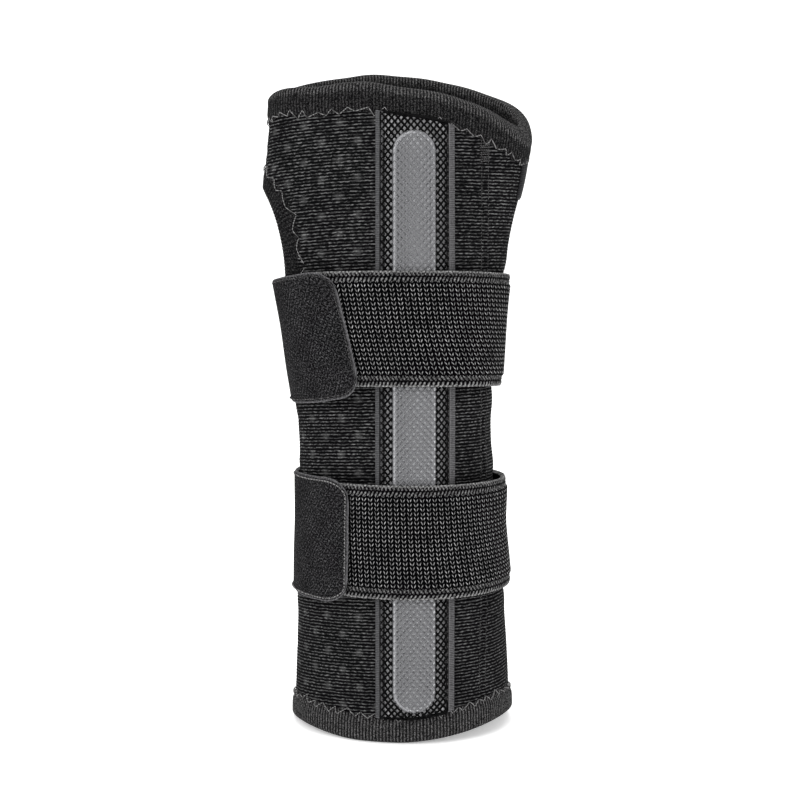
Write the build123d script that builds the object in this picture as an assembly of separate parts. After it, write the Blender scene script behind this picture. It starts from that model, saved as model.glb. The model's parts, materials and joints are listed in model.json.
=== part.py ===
from build123d import *
import math
import os

# Wrist splint for the right hand: a padded sleeve with a thumb hole, a metal stay in a mesh pocket on
# the palm side, and two elastic straps that wrap round and close with hook tabs on the thumb side.
# The sleeve stands on its forearm end. +Z runs up the forearm to the hand, -Y faces out from the stay,
# -X is the thumb side, and the origin is the middle of the forearm opening. Sizes are in millimetres.

# Overall sizes of the sleeve
SLEEVE_LENGTH = 222.0
SLEEVE_WIDTH = 90.0
SLEEVE_DEPTH = 66.0
STAY_X = 3.8

# The sleeve's outline at each height: height as a share of the length, then how far it reaches to the
# thumb side and to the finger side of the stay as shares of the width, and front to back as a share
# of the depth.
OUTLINE = [
    (-0.03, 0.467, 0.384, 1.02),
    (0.09, 0.458, 0.370, 0.955),
    (0.20, 0.447, 0.350, 0.886),
    (0.34, 0.438, 0.316, 0.811),
    (0.44, 0.434, 0.300, 0.765),
    (0.505, 0.444, 0.299, 0.742),
    (0.56, 0.463, 0.306, 0.720),
    (0.675, 0.506, 0.326, 0.674),
    (0.775, 0.544, 0.369, 0.636),
    (0.855, 0.560, 0.420, 0.614),
    (0.93, 0.548, 0.446, 0.598),
    (1.06, 0.528, 0.467, 0.583),
]

# The palm side is straight along the forearm, then bends back to hold the hand cocked up.
FRONT_Y = -33.0
BEND_DEG = 6.0
BEND_START = 112.0
BEND_END = 150.0

# Layers of the sleeve, from the outside in
KNIT = 1.0
FOAM = 2.0
LINING = 0.8

# Edge bindings
BINDING = 0.9
END_BINDING_DEPTH = 9.0
THUMB_BINDING_DEPTH = 7.0
THUMB_BINDING_SPREAD = 4.0

# The hand end's edge, seen from the palm side: distance from the stay, height above the forearm end.
# It slants back through the sleeve, so that the back edge stands higher than the front one.
HAND_EDGE_AT_STAY = 222.1
HAND_EDGE = [
    (-58.0, 212.0),
    (-40.0, 221.6),
    (-20.0, 223.2),
    (0.0, HAND_EDGE_AT_STAY),
    (20.0, 219.0),
    (35.0, 211.3),
    (45.0, 200.4),
    (53.0, 187.0),
]
HAND_EDGE_SLANT_X = 0.35
HAND_EDGE_SLANT_Z = 0.17

# The forearm end's edge is an arc across the front, lowest beside the stay, and flat round the back.
FOREARM_EDGE_RADIUS = 66.0
FOREARM_EDGE_LOW_X = -8.0
FOREARM_EDGE_BACK_SLOPE = 0.25
FOREARM_EDGE_REACH = 1.9 * FOREARM_EDGE_RADIUS

# Thumb hole
THUMB_HOLE_HEIGHT = 159.5
THUMB_HOLE_HALF_HEIGHT = 26.9
THUMB_HOLE_HALF_WIDTH = 11.8
THUMB_HOLE_BACK_SHIFT = 1.5

# Seams of the outer panels
FINGER_SEAM_X = 23.5
SIDE_SEAM_Y = -2.0

# Stay and its pocket
STAY_WIDTH = 14.4
STAY_THICKNESS = 1.5
STAY_END_MARGIN = 5.0
POCKET_WIDTH = 22.4
POCKET_WALL = 0.8
POCKET_BACKING = 0.5
TAPE_WIDTH_THUMB = 3.0
TAPE_WIDTH_FINGER = 2.2
TAPE_THICKNESS = 0.8
SKIN_CLEARANCE = 0.05
STAY_CLEARANCE = 0.1
STAY_SIDE_CLEARANCE = 0.6
POCKET_END_CLEARANCE = 0.15

# Straps: a band sewn on beside the pocket, which runs round the finger side and the back, then a
# loose tail and the hook tab that closes over the band's start.
STRAP_WIDTH = 38.0
STRAP_THICKNESS = 1.8
STRAP_FRONT_LIFT = 3.6
STRAP_FINGER_LIFT = 1.4
STRAP_BACK_LIFT = 1.2
STRAP_START_SINK = -2.6
STRAP_HEM = 8.0
TAIL_HINGE_X = -20.0
TAIL_HINGE_DEPTH = 0.7 * SLEEVE_DEPTH
TAIL_TAB_JOIN_DEG = 150.0
TAB_WIDTH = 42.0
TAB_THICKNESS = 1.3
TAB_LIFT = 1.5
TAB_FRONT_LIFT = 6.1
TAB_END_X = -22.0
TAB_CORNER = 8.0
TAB_FOLD_DEG = 202.0
HOOK_THICKNESS = 0.8
HOOK_SIDE_LIFT = 0.9
HOOK_MARGIN = 3.0
HINGE_GAP = 0.4
HINGE_PROUD = 0.3

# Each strap: name, height of its middle at the stay, where its band starts, how it falls to the back,
# how its tail falls to the thumb side, and the height and turn of its tab.
STRAPS = [
    {"name": "upper", "height": 138.9, "start_x": -31.0, "fall_back": 0.06, "fall_thumb": 0.08,
     "tab_height": 138.1, "tab_turn_deg": 10.0},
    {"name": "lower", "height": 68.7, "start_x": -29.0, "fall_back": 0.0, "fall_thumb": 0.0,
     "tab_height": 68.5, "tab_turn_deg": 0.0},
]

# Blank side label
LABEL_HEIGHT = 190.0
LABEL_LENGTH = 16.0
LABEL_WIDTH = 12.0
LABEL_THICKNESS = 0.6
LABEL_Y = -7.0

# Larger than the whole splint, for cutting
REACH = 800.0

# Behind the palm side's surface beside the pocket, and in front of the sleeve's middle
FRONT_STRIP_Y = -SLEEVE_DEPTH * 0.2

WALL = KNIT + FOAM + LINING
STAY_BACK = SKIN_CLEARANCE + POCKET_BACKING + STAY_CLEARANCE
STAY_FRONT = STAY_BACK + STAY_THICKNESS
MESH_BACK = SKIN_CLEARANCE + POCKET_BACKING
MESH_INSIDE = STAY_FRONT + STAY_CLEARANCE
MESH_FRONT = MESH_INSIDE + POCKET_WALL


def front_y(height):
    """The palm-side line of the sleeve at a height: straight, an arc, then straight again."""
    turn = math.radians(BEND_DEG)
    radius = (BEND_END - BEND_START) / math.sin(turn)
    if height <= BEND_START:
        return FRONT_Y
    if height <= BEND_END:
        angle = math.asin((height - BEND_START) / radius)
        return FRONT_Y + radius * (1 - math.cos(angle))
    return FRONT_Y + radius * (1 - math.cos(turn)) + (height - BEND_END) * math.tan(turn)


def outline_at(height):
    """(thumb side reach, finger side reach, half depth, middle y) of the sleeve at a height."""
    share = height / SLEEVE_LENGTH
    rows = OUTLINE
    share = min(max(share, rows[0][0]), rows[-1][0])
    index = 1
    while rows[index][0] < share:
        index += 1
    low, high = rows[index - 1], rows[index]
    part = (share - low[0]) / (high[0] - low[0])
    thumb, finger, depth = (a + (b - a) * part for a, b in zip(low[1:], high[1:]))
    half_depth = depth * SLEEVE_DEPTH / 2
    return thumb * SLEEVE_WIDTH, finger * SLEEVE_WIDTH, half_depth, front_y(height) + half_depth


def section(height, thumb, finger, front, back):
    """The sleeve's outline at a height as a face, grown by its own amount towards each side."""
    thumb_reach, finger_reach, half_depth, middle = outline_at(height)
    sides = [
        (finger_reach + finger, half_depth + back),
        (thumb_reach + thumb, half_depth + back),
        (thumb_reach + thumb, half_depth + front),
        (finger_reach + finger, half_depth + front),
    ]
    arcs = []
    for quarter, (reach_x, reach_y) in enumerate(sides):
        arcs.append(EllipticalCenterArc((STAY_X, middle), reach_x, reach_y, 90.0 * quarter, arc_size=90.0))
    return Pos(0, 0, height) * Face(Wire(arcs))


def sleeve(thumb, finger=None, front=None, back=None):
    """The whole sleeve as one solid, grown by the amounts given, or evenly by the first of them."""
    finger = thumb if finger is None else finger
    front = thumb if front is None else front
    back = thumb if back is None else back
    return loft([section(row[0] * SLEEVE_LENGTH, thumb, finger, front, back) for row in OUTLINE])


def surface_point(height, x, lift, side):
    """The point at a height and a distance from the stay that stands off the sleeve by lift.
    side is -1 for the palm side and 1 for the back."""
    thumb_reach, finger_reach, half_depth, middle = outline_at(height)
    reach = (thumb_reach if x < 0 else finger_reach) + lift
    rise = math.sqrt(max(0.0, 1 - (x / reach) ** 2))
    return Vector(STAY_X + x, middle + side * (half_depth + lift) * rise, height)


def beyond(origin, normal):
    """All the space on the side of a plane that its normal points to."""
    plane = Plane(origin=origin, z_dir=normal)
    return plane * Pos(0, 0, REACH / 2) * Box(REACH, REACH, REACH)


def above_hand_edge(drop):
    """The space above the hand end's edge, lowered by drop."""
    shift = -REACH / 2
    points = [
        (STAY_X + x + HAND_EDGE_SLANT_X * shift, z - drop + HAND_EDGE_SLANT_Z * shift)
        for x, z in HAND_EDGE
    ]
    start, end = points[0], points[-1]
    top = REACH
    edge = Spline(*points)
    steps = [start, (start[0] - REACH, start[1] - REACH), (start[0] - REACH, top), (end[0] + REACH, top)]
    steps += [(end[0] + REACH, end[1] - REACH), end]
    face = Plane.XZ.offset(-shift) * make_face([edge, Polyline(*steps)])
    direction = Vector(HAND_EDGE_SLANT_X, 1, HAND_EDGE_SLANT_Z)
    return extrude(face, amount=REACH * direction.length, dir=direction)


def below_forearm_edge(rise):
    """The space below the forearm end's edge, raised by rise."""
    low_x = STAY_X + FOREARM_EDGE_LOW_X
    lead = SLEEVE_DEPTH / 2
    start_rise = rise + FOREARM_EDGE_BACK_SLOPE * lead
    block = Pos(low_x, 0) * Rectangle(FOREARM_EDGE_REACH, FOREARM_EDGE_RADIUS)
    arch = block - Pos(low_x, FOREARM_EDGE_RADIUS) * Circle(FOREARM_EDGE_RADIUS)
    face = Plane.XZ.offset(lead - FRONT_Y) * Pos(0, start_rise) * arch
    direction = Vector(0, 1, -FOREARM_EDGE_BACK_SLOPE)
    curved = extrude(face, amount=REACH, dir=direction)
    flat = Pos(0, 0, rise - REACH / 2) * Box(REACH, REACH, REACH)
    return curved + flat


def thumb_hole(spread_y, spread_z):
    """The thumb hole's space, widened along y and along z."""
    middle = outline_at(THUMB_HOLE_HEIGHT)[3] + THUMB_HOLE_BACK_SHIFT
    half_width = THUMB_HOLE_HALF_WIDTH + spread_y
    half_height = THUMB_HOLE_HALF_HEIGHT + spread_z
    face = Plane.YZ.offset(STAY_X) * Pos(middle, THUMB_HOLE_HEIGHT) * Ellipse(half_width, half_height)
    return extrude(face, amount=SLEEVE_WIDTH, dir=(-1, 0, 0))


def front_strip(x_low, x_high):
    """The space in front of the sleeve's middle, between two distances from the stay."""
    width = x_high - x_low
    depth = REACH / 2
    place = Pos(STAY_X + (x_low + x_high) / 2, FRONT_STRIP_Y - depth / 2, SLEEVE_LENGTH / 2)
    return place * Box(width, depth, REACH)


def trim(solid):
    """The sleeve's layers end inside the two end bindings."""
    return solid - above_hand_edge(BINDING) - below_forearm_edge(BINDING) - thumb_hole(0, 0)


def make_layers(skins):
    """The outer panels, the two foam cores and the lining."""
    knit = trim(skins["outside"] - skins["under_knit"])
    foam = trim(skins["under_knit"] - skins["under_foam"])
    back = beyond((0, SIDE_SEAM_Y, 0), (0, 1, 0))
    front = beyond((0, SIDE_SEAM_Y, 0), (0, -1, 0))
    thumb_side = beyond((STAY_X, 0, 0), (-1, 0, 0))
    finger_side = beyond((STAY_X + FINGER_SEAM_X, 0, 0), (1, 0, 0))
    front_knit = knit & front
    return {
        "outer_panel_thumb_side": front_knit & thumb_side,
        "outer_panel_finger_front": front_knit - thumb_side - finger_side,
        "outer_panel_finger_side": front_knit & finger_side,
        "outer_panel_back": knit & back,
        "foam_core_front": foam & front,
        "foam_core_back": foam & back,
        "lining": trim(skins["under_foam"] - skins["inside"]),
    }


def make_bindings(skins):
    """The three folded bindings, each a channel over the edge of the layers."""
    ring = skins["binding_outside"] - skins["binding_inside"]
    layers = skins["outside"] - skins["inside"]
    hand_cut = above_hand_edge(0)
    forearm_cut = below_forearm_edge(0)
    hand_band = ring & above_hand_edge(END_BINDING_DEPTH)
    forearm_band = ring & below_forearm_edge(END_BINDING_DEPTH)
    thumb_band = ring & thumb_hole(THUMB_BINDING_SPREAD, THUMB_BINDING_DEPTH)
    thumb_band -= thumb_hole(-BINDING, -BINDING)
    core = trim(layers)
    return {
        "hand_end_binding": hand_band - hand_cut - core,
        "forearm_end_binding": forearm_band - forearm_cut - core,
        "thumb_hole_binding": thumb_band - core,
    }


def pocket_limits():
    """The space between the two end bindings, where the pocket lies."""
    upper = above_hand_edge(END_BINDING_DEPTH + POCKET_END_CLEARANCE)
    lower = below_forearm_edge(END_BINDING_DEPTH + POCKET_END_CLEARANCE)
    return upper + lower


def stay_outline(width, low, high):
    """A flat bar's outline with fully round ends, as a solid through the front of the sleeve."""
    face = Plane.XZ * Pos(STAY_X, (low + high) / 2) * SlotOverall(high - low, width, rotation=90)
    return extrude(face, amount=REACH / 2, dir=(0, -1, 0))


def make_pocket(skins):
    """The stay, its mesh pocket and the pocket's tapes."""
    ends = pocket_limits()
    strip = front_strip(-POCKET_WIDTH / 2, POCKET_WIDTH / 2) - ends
    stay_low = END_BINDING_DEPTH + POCKET_END_CLEARANCE + 2 * BINDING
    front_edge = HAND_EDGE_AT_STAY + HAND_EDGE_SLANT_Z * front_y(SLEEVE_LENGTH)
    stay_high = front_edge - END_BINDING_DEPTH - STAY_END_MARGIN
    margin = STAY_SIDE_CLEARANCE
    stay = stay_outline(STAY_WIDTH, stay_low, stay_high)
    cavity = stay_outline(STAY_WIDTH + 2 * margin, stay_low - margin, stay_high + margin)
    mesh = strip & (skins["mesh_front"] - skins["mesh_back"])
    mesh -= cavity & skins["mesh_inside"]
    tape_shell = skins["tape_front"] - skins["tape_back"]
    half = POCKET_WIDTH / 2
    thumb_strip = front_strip(-half - TAPE_WIDTH_THUMB, -half - SKIN_CLEARANCE) - ends
    finger_strip = front_strip(half + SKIN_CLEARANCE, half + TAPE_WIDTH_FINGER) - ends
    return {
        "pocket_backing": strip & (skins["mesh_back"] - skins["tape_back"]),
        "splint_stay": stay & (skins["stay_front"] - skins["stay_back"]),
        "pocket_mesh": mesh,
        "pocket_tape_thumb_side": thumb_strip & tape_shell,
        "pocket_tape_finger_side": finger_strip & tape_shell,
    }


def make_label(skins):
    """The blank fabric label on the finger side."""
    place = Pos(STAY_X + SLEEVE_WIDTH / 2, LABEL_Y, LABEL_HEIGHT)
    patch = place * Box(SLEEVE_WIDTH, LABEL_WIDTH, LABEL_LENGTH)
    patch -= above_hand_edge(END_BINDING_DEPTH + POCKET_END_CLEARANCE)
    return {"side_label": patch & (skins["label_front"] - skins["tape_back"])}


def strap_slab(strap, width, fall_thumb):
    """The space between a strap's two edges, falling to the back and to the thumb side."""
    origin = Vector(STAY_X + TAIL_HINGE_X * (fall_thumb > 0), front_y(strap["height"]), strap["height"])
    normal = Vector(-fall_thumb, strap["fall_back"], 1).normalized()
    plane = Plane(origin=origin, z_dir=normal)
    return plane * Box(REACH, REACH, width)


def tail_hinge(strap):
    """Two points on the line that the tail swings about, low then high."""
    lift = STRAP_BACK_LIFT + STRAP_THICKNESS + HINGE_PROUD
    middle = strap["height"] - strap["fall_back"] * TAIL_HINGE_DEPTH
    half = STRAP_WIDTH / 2
    return [surface_point(middle + s * half, TAIL_HINGE_X, lift, 1) for s in (-1, 1)]


def tab_fold(strap):
    """Two points on the line that the tab folds back about, low then high."""
    turn = math.radians(TAB_FOLD_DEG)
    points = []
    middle = strap["tab_height"] + math.sin(math.radians(strap["tab_turn_deg"])) * TAB_END_X
    for side in (-1, 1):
        height = middle + side * TAB_WIDTH / 2
        thumb_reach, _, half_depth, centre = outline_at(height)
        front_share = math.sin(turn) ** 2
        lift = TAB_LIFT + (TAB_FRONT_LIFT - TAB_LIFT) * front_share + TAB_THICKNESS + HINGE_PROUD
        x = STAY_X + (thumb_reach + lift) * math.cos(turn)
        points.append(Vector(x, centre + (half_depth + lift) * math.sin(turn), height))
    return points


def hinge_sides(line, towards):
    """The spaces either side of a hinge line, half the hinge gap clear of it. The first lies towards
    the point given."""
    low, high = line
    along = (high - low).normalized()
    centre = Vector(STAY_X, outline_at((low.Z + high.Z) / 2)[3], (low.Z + high.Z) / 2)
    normal = along.cross(centre - low).normalized()
    if normal.dot(towards - low) < 0:
        normal = normal * -1
    half_gap = normal * (HINGE_GAP / 2)
    return beyond(low + half_gap, normal), beyond(low - half_gap, normal * -1)


def make_strap(strap):
    """One strap: its band, its tail, the two parts of its tab and the hook patch."""
    name = strap["name"]
    thick = STRAP_THICKNESS
    middle = outline_at(strap["height"])[3]
    palm_side = beyond((0, middle, 0), (0, -1, 0))
    thumb_side = beyond((STAY_X, 0, 0), (-1, 0, 0))
    finger_side = beyond((STAY_X, 0, 0), (1, 0, 0))
    start = beyond((STAY_X + strap["start_x"], 0, 0), (1, 0, 0))
    hem = beyond((STAY_X + strap["start_x"] + STRAP_HEM, 0, 0), (-1, 0, 0))
    round_lifts = (STRAP_BACK_LIFT, STRAP_FINGER_LIFT, STRAP_FRONT_LIFT, STRAP_BACK_LIFT)
    round_outside = sleeve(*(lift + thick for lift in round_lifts))
    round_ring = round_outside - sleeve(*round_lifts)
    start_lifts = (STRAP_START_SINK, STRAP_FINGER_LIFT, STRAP_FRONT_LIFT, STRAP_BACK_LIFT)
    start_outside = sleeve(*(lift + thick for lift in start_lifts))
    start_ring = start_outside - sleeve(*start_lifts)
    slab = strap_slab(strap, STRAP_WIDTH, 0)
    thumb_point = Vector(STAY_X - SLEEVE_WIDTH, middle, strap["height"])
    back_point = Vector(STAY_X, middle + SLEEVE_DEPTH, strap["height"])
    tail_side, band_side = hinge_sides(tail_hinge(strap), thumb_point)
    base_side, flap_side = hinge_sides(tab_fold(strap), back_point)
    quarter = palm_side & thumb_side & start & slab
    band_start = quarter & start_ring
    turned_hem = quarter & hem & (start_outside - sleeve(SKIN_CLEARANCE))
    band_round = (round_ring & slab & finger_side) + (round_ring & slab & thumb_side & band_side - palm_side)
    tail_slab = strap_slab(strap, STRAP_WIDTH, strap["fall_thumb"])
    join = math.radians(TAIL_TAB_JOIN_DEG)
    join_normal = Vector(math.sin(join), -math.cos(join), 0)
    join_origin = (STAY_X, middle, 0)
    before_join = beyond(join_origin, join_normal)
    past_join = beyond(join_origin, join_normal * -1)
    tail = (round_ring & tail_slab & thumb_side & tail_side & before_join) - palm_side
    tab_inside = sleeve(TAB_LIFT, TAB_LIFT, TAB_FRONT_LIFT, TAB_LIFT)
    lifted = (TAB_LIFT + TAB_THICKNESS, TAB_FRONT_LIFT + TAB_THICKNESS)
    tab_outside = sleeve(lifted[0], lifted[0], lifted[1], lifted[0])
    tab_ring = (tab_outside - tab_inside) & tab_outline(strap, 0) & thumb_side
    hook_inside = sleeve(HOOK_SIDE_LIFT, HOOK_SIDE_LIFT, TAB_FRONT_LIFT - HOOK_THICKNESS, HOOK_SIDE_LIFT)
    hook_ring = (tab_inside - hook_inside) & tab_outline(strap, HOOK_MARGIN) & thumb_side
    return {
        f"{name}_elastic_band": band_start + turned_hem + band_round,
        f"{name}_elastic_tail": tail,
        f"{name}_tab_base": tab_ring & base_side & past_join,
        f"{name}_tab_flap": (tab_ring & flap_side) & palm_side,
        f"{name}_hook_patch": (hook_ring & flap_side) & palm_side,
    }


def tab_outline(strap, margin):
    """A hook tab's outline with its round corners, turned and run through the sleeve."""
    length = SLEEVE_WIDTH
    inset = (length - 2 * margin, TAB_WIDTH - 2 * margin, TAB_CORNER - margin)
    face = Pos(-length / 2, 0) * RectangleRounded(*inset)
    place = Pos(STAY_X + TAB_END_X, strap["tab_height"]) * Rot(0, 0, strap["tab_turn_deg"])
    return extrude(Plane.XZ * place * face, amount=REACH / 2, both=True)


def make_skins():
    """The sleeve's nested skins, from the mesh pocket's front in to the binding inside it."""
    lifts = {
        "mesh_front": MESH_FRONT,
        "mesh_inside": MESH_INSIDE,
        "stay_front": STAY_FRONT,
        "stay_back": STAY_BACK,
        "mesh_back": MESH_BACK,
        "tape_front": SKIN_CLEARANCE + TAPE_THICKNESS,
        "label_front": SKIN_CLEARANCE + LABEL_THICKNESS,
        "tape_back": SKIN_CLEARANCE,
        "binding_outside": BINDING,
        "outside": 0.0,
        "under_knit": -KNIT,
        "under_foam": -KNIT - FOAM,
        "inside": -WALL,
        "binding_inside": -WALL - BINDING,
    }
    return {name: sleeve(lift) for name, lift in lifts.items()}


def main():
    """Makes every piece and writes one STEP file for each."""
    os.makedirs("parts", exist_ok=True)
    skins = make_skins()
    pieces = {}
    pieces.update(make_layers(skins))
    pieces.update(make_bindings(skins))
    pieces.update(make_pocket(skins))
    pieces.update(make_label(skins))
    for strap in STRAPS:
        pieces.update(make_strap(strap))
        print(strap["name"], "tail hinge", tail_hinge(strap), "tab fold", tab_fold(strap))
    for name, piece in pieces.items():
        export_step(piece, f"parts/{name}.step")


main()
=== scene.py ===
"""The looks of a right-hand wrist splint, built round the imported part.

Every piece is cut as cloth, metal or thread at its real size and laid on the sleeve's own form, which this
file repeats in metres. +Z runs up the forearm to the hand, -Y is the palm side and -X the thumb side.
"""

from __future__ import annotations

import json
import logging
import math
from dataclasses import dataclass, field
from enum import Enum
from typing import Callable

import bpy
import numpy as np
from bpy.types import Material, Node, NodeSocket, NodeTree, Object
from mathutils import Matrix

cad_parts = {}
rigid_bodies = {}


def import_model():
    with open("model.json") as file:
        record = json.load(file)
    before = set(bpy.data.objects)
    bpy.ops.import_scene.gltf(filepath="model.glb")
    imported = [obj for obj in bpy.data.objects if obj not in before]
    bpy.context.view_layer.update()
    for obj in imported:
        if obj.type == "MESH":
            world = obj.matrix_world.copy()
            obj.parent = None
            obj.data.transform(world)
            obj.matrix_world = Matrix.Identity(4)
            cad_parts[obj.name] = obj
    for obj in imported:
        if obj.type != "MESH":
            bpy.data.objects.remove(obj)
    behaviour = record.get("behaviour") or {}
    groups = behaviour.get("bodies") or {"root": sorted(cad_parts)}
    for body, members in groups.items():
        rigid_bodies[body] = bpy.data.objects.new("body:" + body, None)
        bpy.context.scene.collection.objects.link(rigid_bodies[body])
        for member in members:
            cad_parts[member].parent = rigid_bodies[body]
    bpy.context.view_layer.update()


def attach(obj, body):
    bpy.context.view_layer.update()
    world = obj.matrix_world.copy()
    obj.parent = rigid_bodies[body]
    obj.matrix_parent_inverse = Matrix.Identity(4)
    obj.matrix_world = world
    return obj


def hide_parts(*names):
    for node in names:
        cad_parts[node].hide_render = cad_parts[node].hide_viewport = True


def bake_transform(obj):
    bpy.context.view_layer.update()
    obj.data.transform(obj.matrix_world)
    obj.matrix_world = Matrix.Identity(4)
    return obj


LOG = logging.getLogger("wrist_splint")
MM = 0.001
Array = np.ndarray


# ---------------------------------------------------------------- small sums


def step(low: float, high: float, value: Array) -> Array:
    """Rises smoothly from 0 at low to 1 at high.

    Args:
        low: Where the rise starts.
        high: Where it ends. It may be below low, and then the result falls.
        value: The numbers to judge.

    Returns:
        Numbers from 0 to 1.
    """
    share = np.clip((np.asarray(value, float) - low) / (high - low), 0.0, 1.0)
    return share * share * (3 - 2 * share)


def curve(value: Array, at: list[float], heights: list[float]) -> Array:
    """A smooth line through known points.

    Args:
        value: Where to read the line.
        at: The points' places, rising.
        heights: The line's value at each of them.

    Returns:
        The line's values.
    """
    xs, ys = np.array(at, float), np.array(heights, float)
    value = np.clip(np.asarray(value, float), xs[0], xs[-1])
    runs, rises = np.diff(xs), np.diff(ys)
    grades = rises / runs
    slopes = np.empty_like(ys)
    slopes[1:-1] = (grades[:-1] * runs[1:] + grades[1:] * runs[:-1]) / (runs[:-1] + runs[1:])
    slopes[0], slopes[-1] = grades[0], grades[-1]
    index = np.clip(np.searchsorted(xs, value) - 1, 0, len(runs) - 1)
    run = runs[index]
    t = (value - xs[index]) / run
    near = ys[index] * (1 + 2 * t) * (1 - t) ** 2 + slopes[index] * run * t * (1 - t) ** 2
    far = ys[index + 1] * t * t * (3 - 2 * t) + slopes[index + 1] * run * t * t * (t - 1)
    return near + far


def lengths_along(points: Array) -> Array:
    """The distance walked at each point of a line.

    Args:
        points: The line's points in order.

    Returns:
        One distance for each, starting at 0.
    """
    return np.concatenate([[0.0], np.cumsum(np.linalg.norm(np.diff(points, axis=0), axis=1))])


# ---------------------------------------------------------------- the sleeve's form


@dataclass(frozen=True)
class Lifts:
    """How far a skin stands off the sleeve's outside towards each side, in metres."""

    thumb: float = 0.0
    finger: float = 0.0
    front: float = 0.0
    back: float = 0.0

    @classmethod
    def even(cls, lift: float) -> Lifts:
        """The same lift all round."""
        return cls(lift, lift, lift, lift)


@dataclass(frozen=True)
class SleeveForm:
    """The padded sleeve's outside: four quarter ellipses at each height, bent back over the palm.

    Angles run from the palm side (0) through the finger side (a quarter turn) to the back (half).
    """

    length: float = 222.0 * MM
    width: float = 90.0 * MM
    depth: float = 66.0 * MM
    stay_x: float = 3.8 * MM
    palm_y: float = -33.0 * MM
    bend: float = math.radians(6.0)
    bend_start: float = 112.0 * MM
    bend_end: float = 150.0 * MM
    heights: tuple[float, ...] = (
        -0.03, 0.09, 0.20, 0.34, 0.44, 0.505, 0.56, 0.675, 0.775, 0.855, 0.93, 1.06,
    )
    thumb_reach: tuple[float, ...] = (
        0.467, 0.458, 0.447, 0.438, 0.434, 0.444, 0.463, 0.506, 0.544, 0.560, 0.548, 0.528,
    )
    finger_reach: tuple[float, ...] = (
        0.384, 0.370, 0.350, 0.316, 0.300, 0.299, 0.306, 0.326, 0.369, 0.420, 0.446, 0.467,
    )
    depths: tuple[float, ...] = (
        1.02, 0.955, 0.886, 0.811, 0.765, 0.742, 0.720, 0.674, 0.636, 0.614, 0.598, 0.583,
    )
    hand_edge_x: tuple[float, ...] = (-58.0, -40.0, -20.0, 0.0, 20.0, 35.0, 45.0, 53.0)
    hand_edge_z: tuple[float, ...] = (212.0, 221.6, 223.2, 222.1, 219.0, 211.3, 200.4, 187.0)
    hand_slant_x: float = 0.35
    hand_slant_z: float = 0.17
    rim_x: tuple[float, ...] = (-47.0, -33.0, -24.5, -16.0, -5.0, 5.5, 14.0, 25.0, 31.0, 35.5, 40.0)
    front_rim: tuple[float, ...] = (-0.5, -1.4, 0.0, 0.9, 0.3, 0.0, 0.0, 0.0, 0.0, 0.0, 0.0)
    back_rim: tuple[float, ...] = (0.0, -0.5, -0.1, 1.0, 0.6, 0.4, -0.5, -0.8, 0.0, 1.4, 3.9)
    forearm_radius: float = 66.0 * MM
    forearm_low_x: float = -8.0 * MM
    forearm_slope: float = 0.25
    forearm_flat: tuple[float, float] = (0.92, 0.72)
    hole_height: float = 159.5 * MM
    hole_half_height: float = 26.9 * MM
    hole_half_width: float = 11.8 * MM
    hole_back_shift: float = 2.4 * MM

    def palm_line(self, z: Array) -> Array:
        """The palm side's y at each height: straight, an arc, then straight again."""
        z = np.asarray(z, float)
        radius = (self.bend_end - self.bend_start) / math.sin(self.bend)
        share = np.clip((z - self.bend_start) / radius, 0.0, math.sin(self.bend))
        bent = self.palm_y + radius * (1 - np.sqrt(1 - share**2))
        return bent + np.maximum(z - self.bend_end, 0.0) * math.tan(self.bend)

    def at(self, z: Array) -> tuple[Array, Array, Array, Array]:
        """The sleeve's section at each height.

        Args:
            z: Heights in metres.

        Returns:
            Reach to the thumb side, reach to the finger side, half depth, and the middle's y.
        """
        share = np.asarray(z, float) / self.length
        thumb = curve(share, self.heights, self.thumb_reach) * self.width
        finger = curve(share, self.heights, self.finger_reach) * self.width
        half = curve(share, self.heights, self.depths) * self.depth / 2
        return thumb, finger, half, self.palm_line(z) + half

    def swell(self, angle: Array, z: Array) -> Array:
        """How far the soft sleeve stands out or in: long soft creases, and the straps' pull."""
        s = np.asarray(angle, float)
        z = np.asarray(z, float) / MM
        soft = 0.16 * np.sin(3.1 * s + z / 17.0) + 0.13 * np.sin(5.3 * s - z / 11.0 + 1.3)
        soft += 0.10 * np.sin(2.2 * s + z / 7.3 + 0.6) * np.sin(1.7 * s + 0.4)
        for middle in (68.7, 137.0):
            away = np.abs(z - middle)
            soft -= 0.45 * step(22.0, 15.0, away)
            soft += 0.40 * np.exp(-(((away - 24.0) / 4.0) ** 2))
        calm = step(6.0, 16.0, z) * step(216.0, 200.0, z)
        pocket = np.where(np.cos(s) > 0, step(0.3, 0.48, np.abs(np.sin(s))), 1.0)
        return soft * calm * pocket * MM

    def point(self, angle: Array, z: Array, lifts: Lifts, out: Array | float = 0.0) -> Array:
        """Points on a skin of the sleeve.

        Args:
            angle: Where round the sleeve.
            z: Heights.
            lifts: The skin.
            out: Further distance straight out from it.

        Returns:
            An array of x, y, z.
        """
        thumb, finger, half, middle = self.at(z)
        side, face = np.sin(angle), np.cos(angle)
        reach_x = np.where(side < 0, thumb + lifts.thumb, finger + lifts.finger)
        reach_y = half + np.where(face > 0, lifts.front, lifts.back)
        normal = np.stack([reach_y * side, -reach_x * face], axis=-1)
        normal /= np.linalg.norm(normal, axis=-1, keepdims=True)
        x = self.stay_x + reach_x * side + out * normal[..., 0]
        y = middle - reach_y * face + out * normal[..., 1]
        return np.stack([x, y, np.broadcast_to(z, x.shape)], axis=-1)

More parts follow.
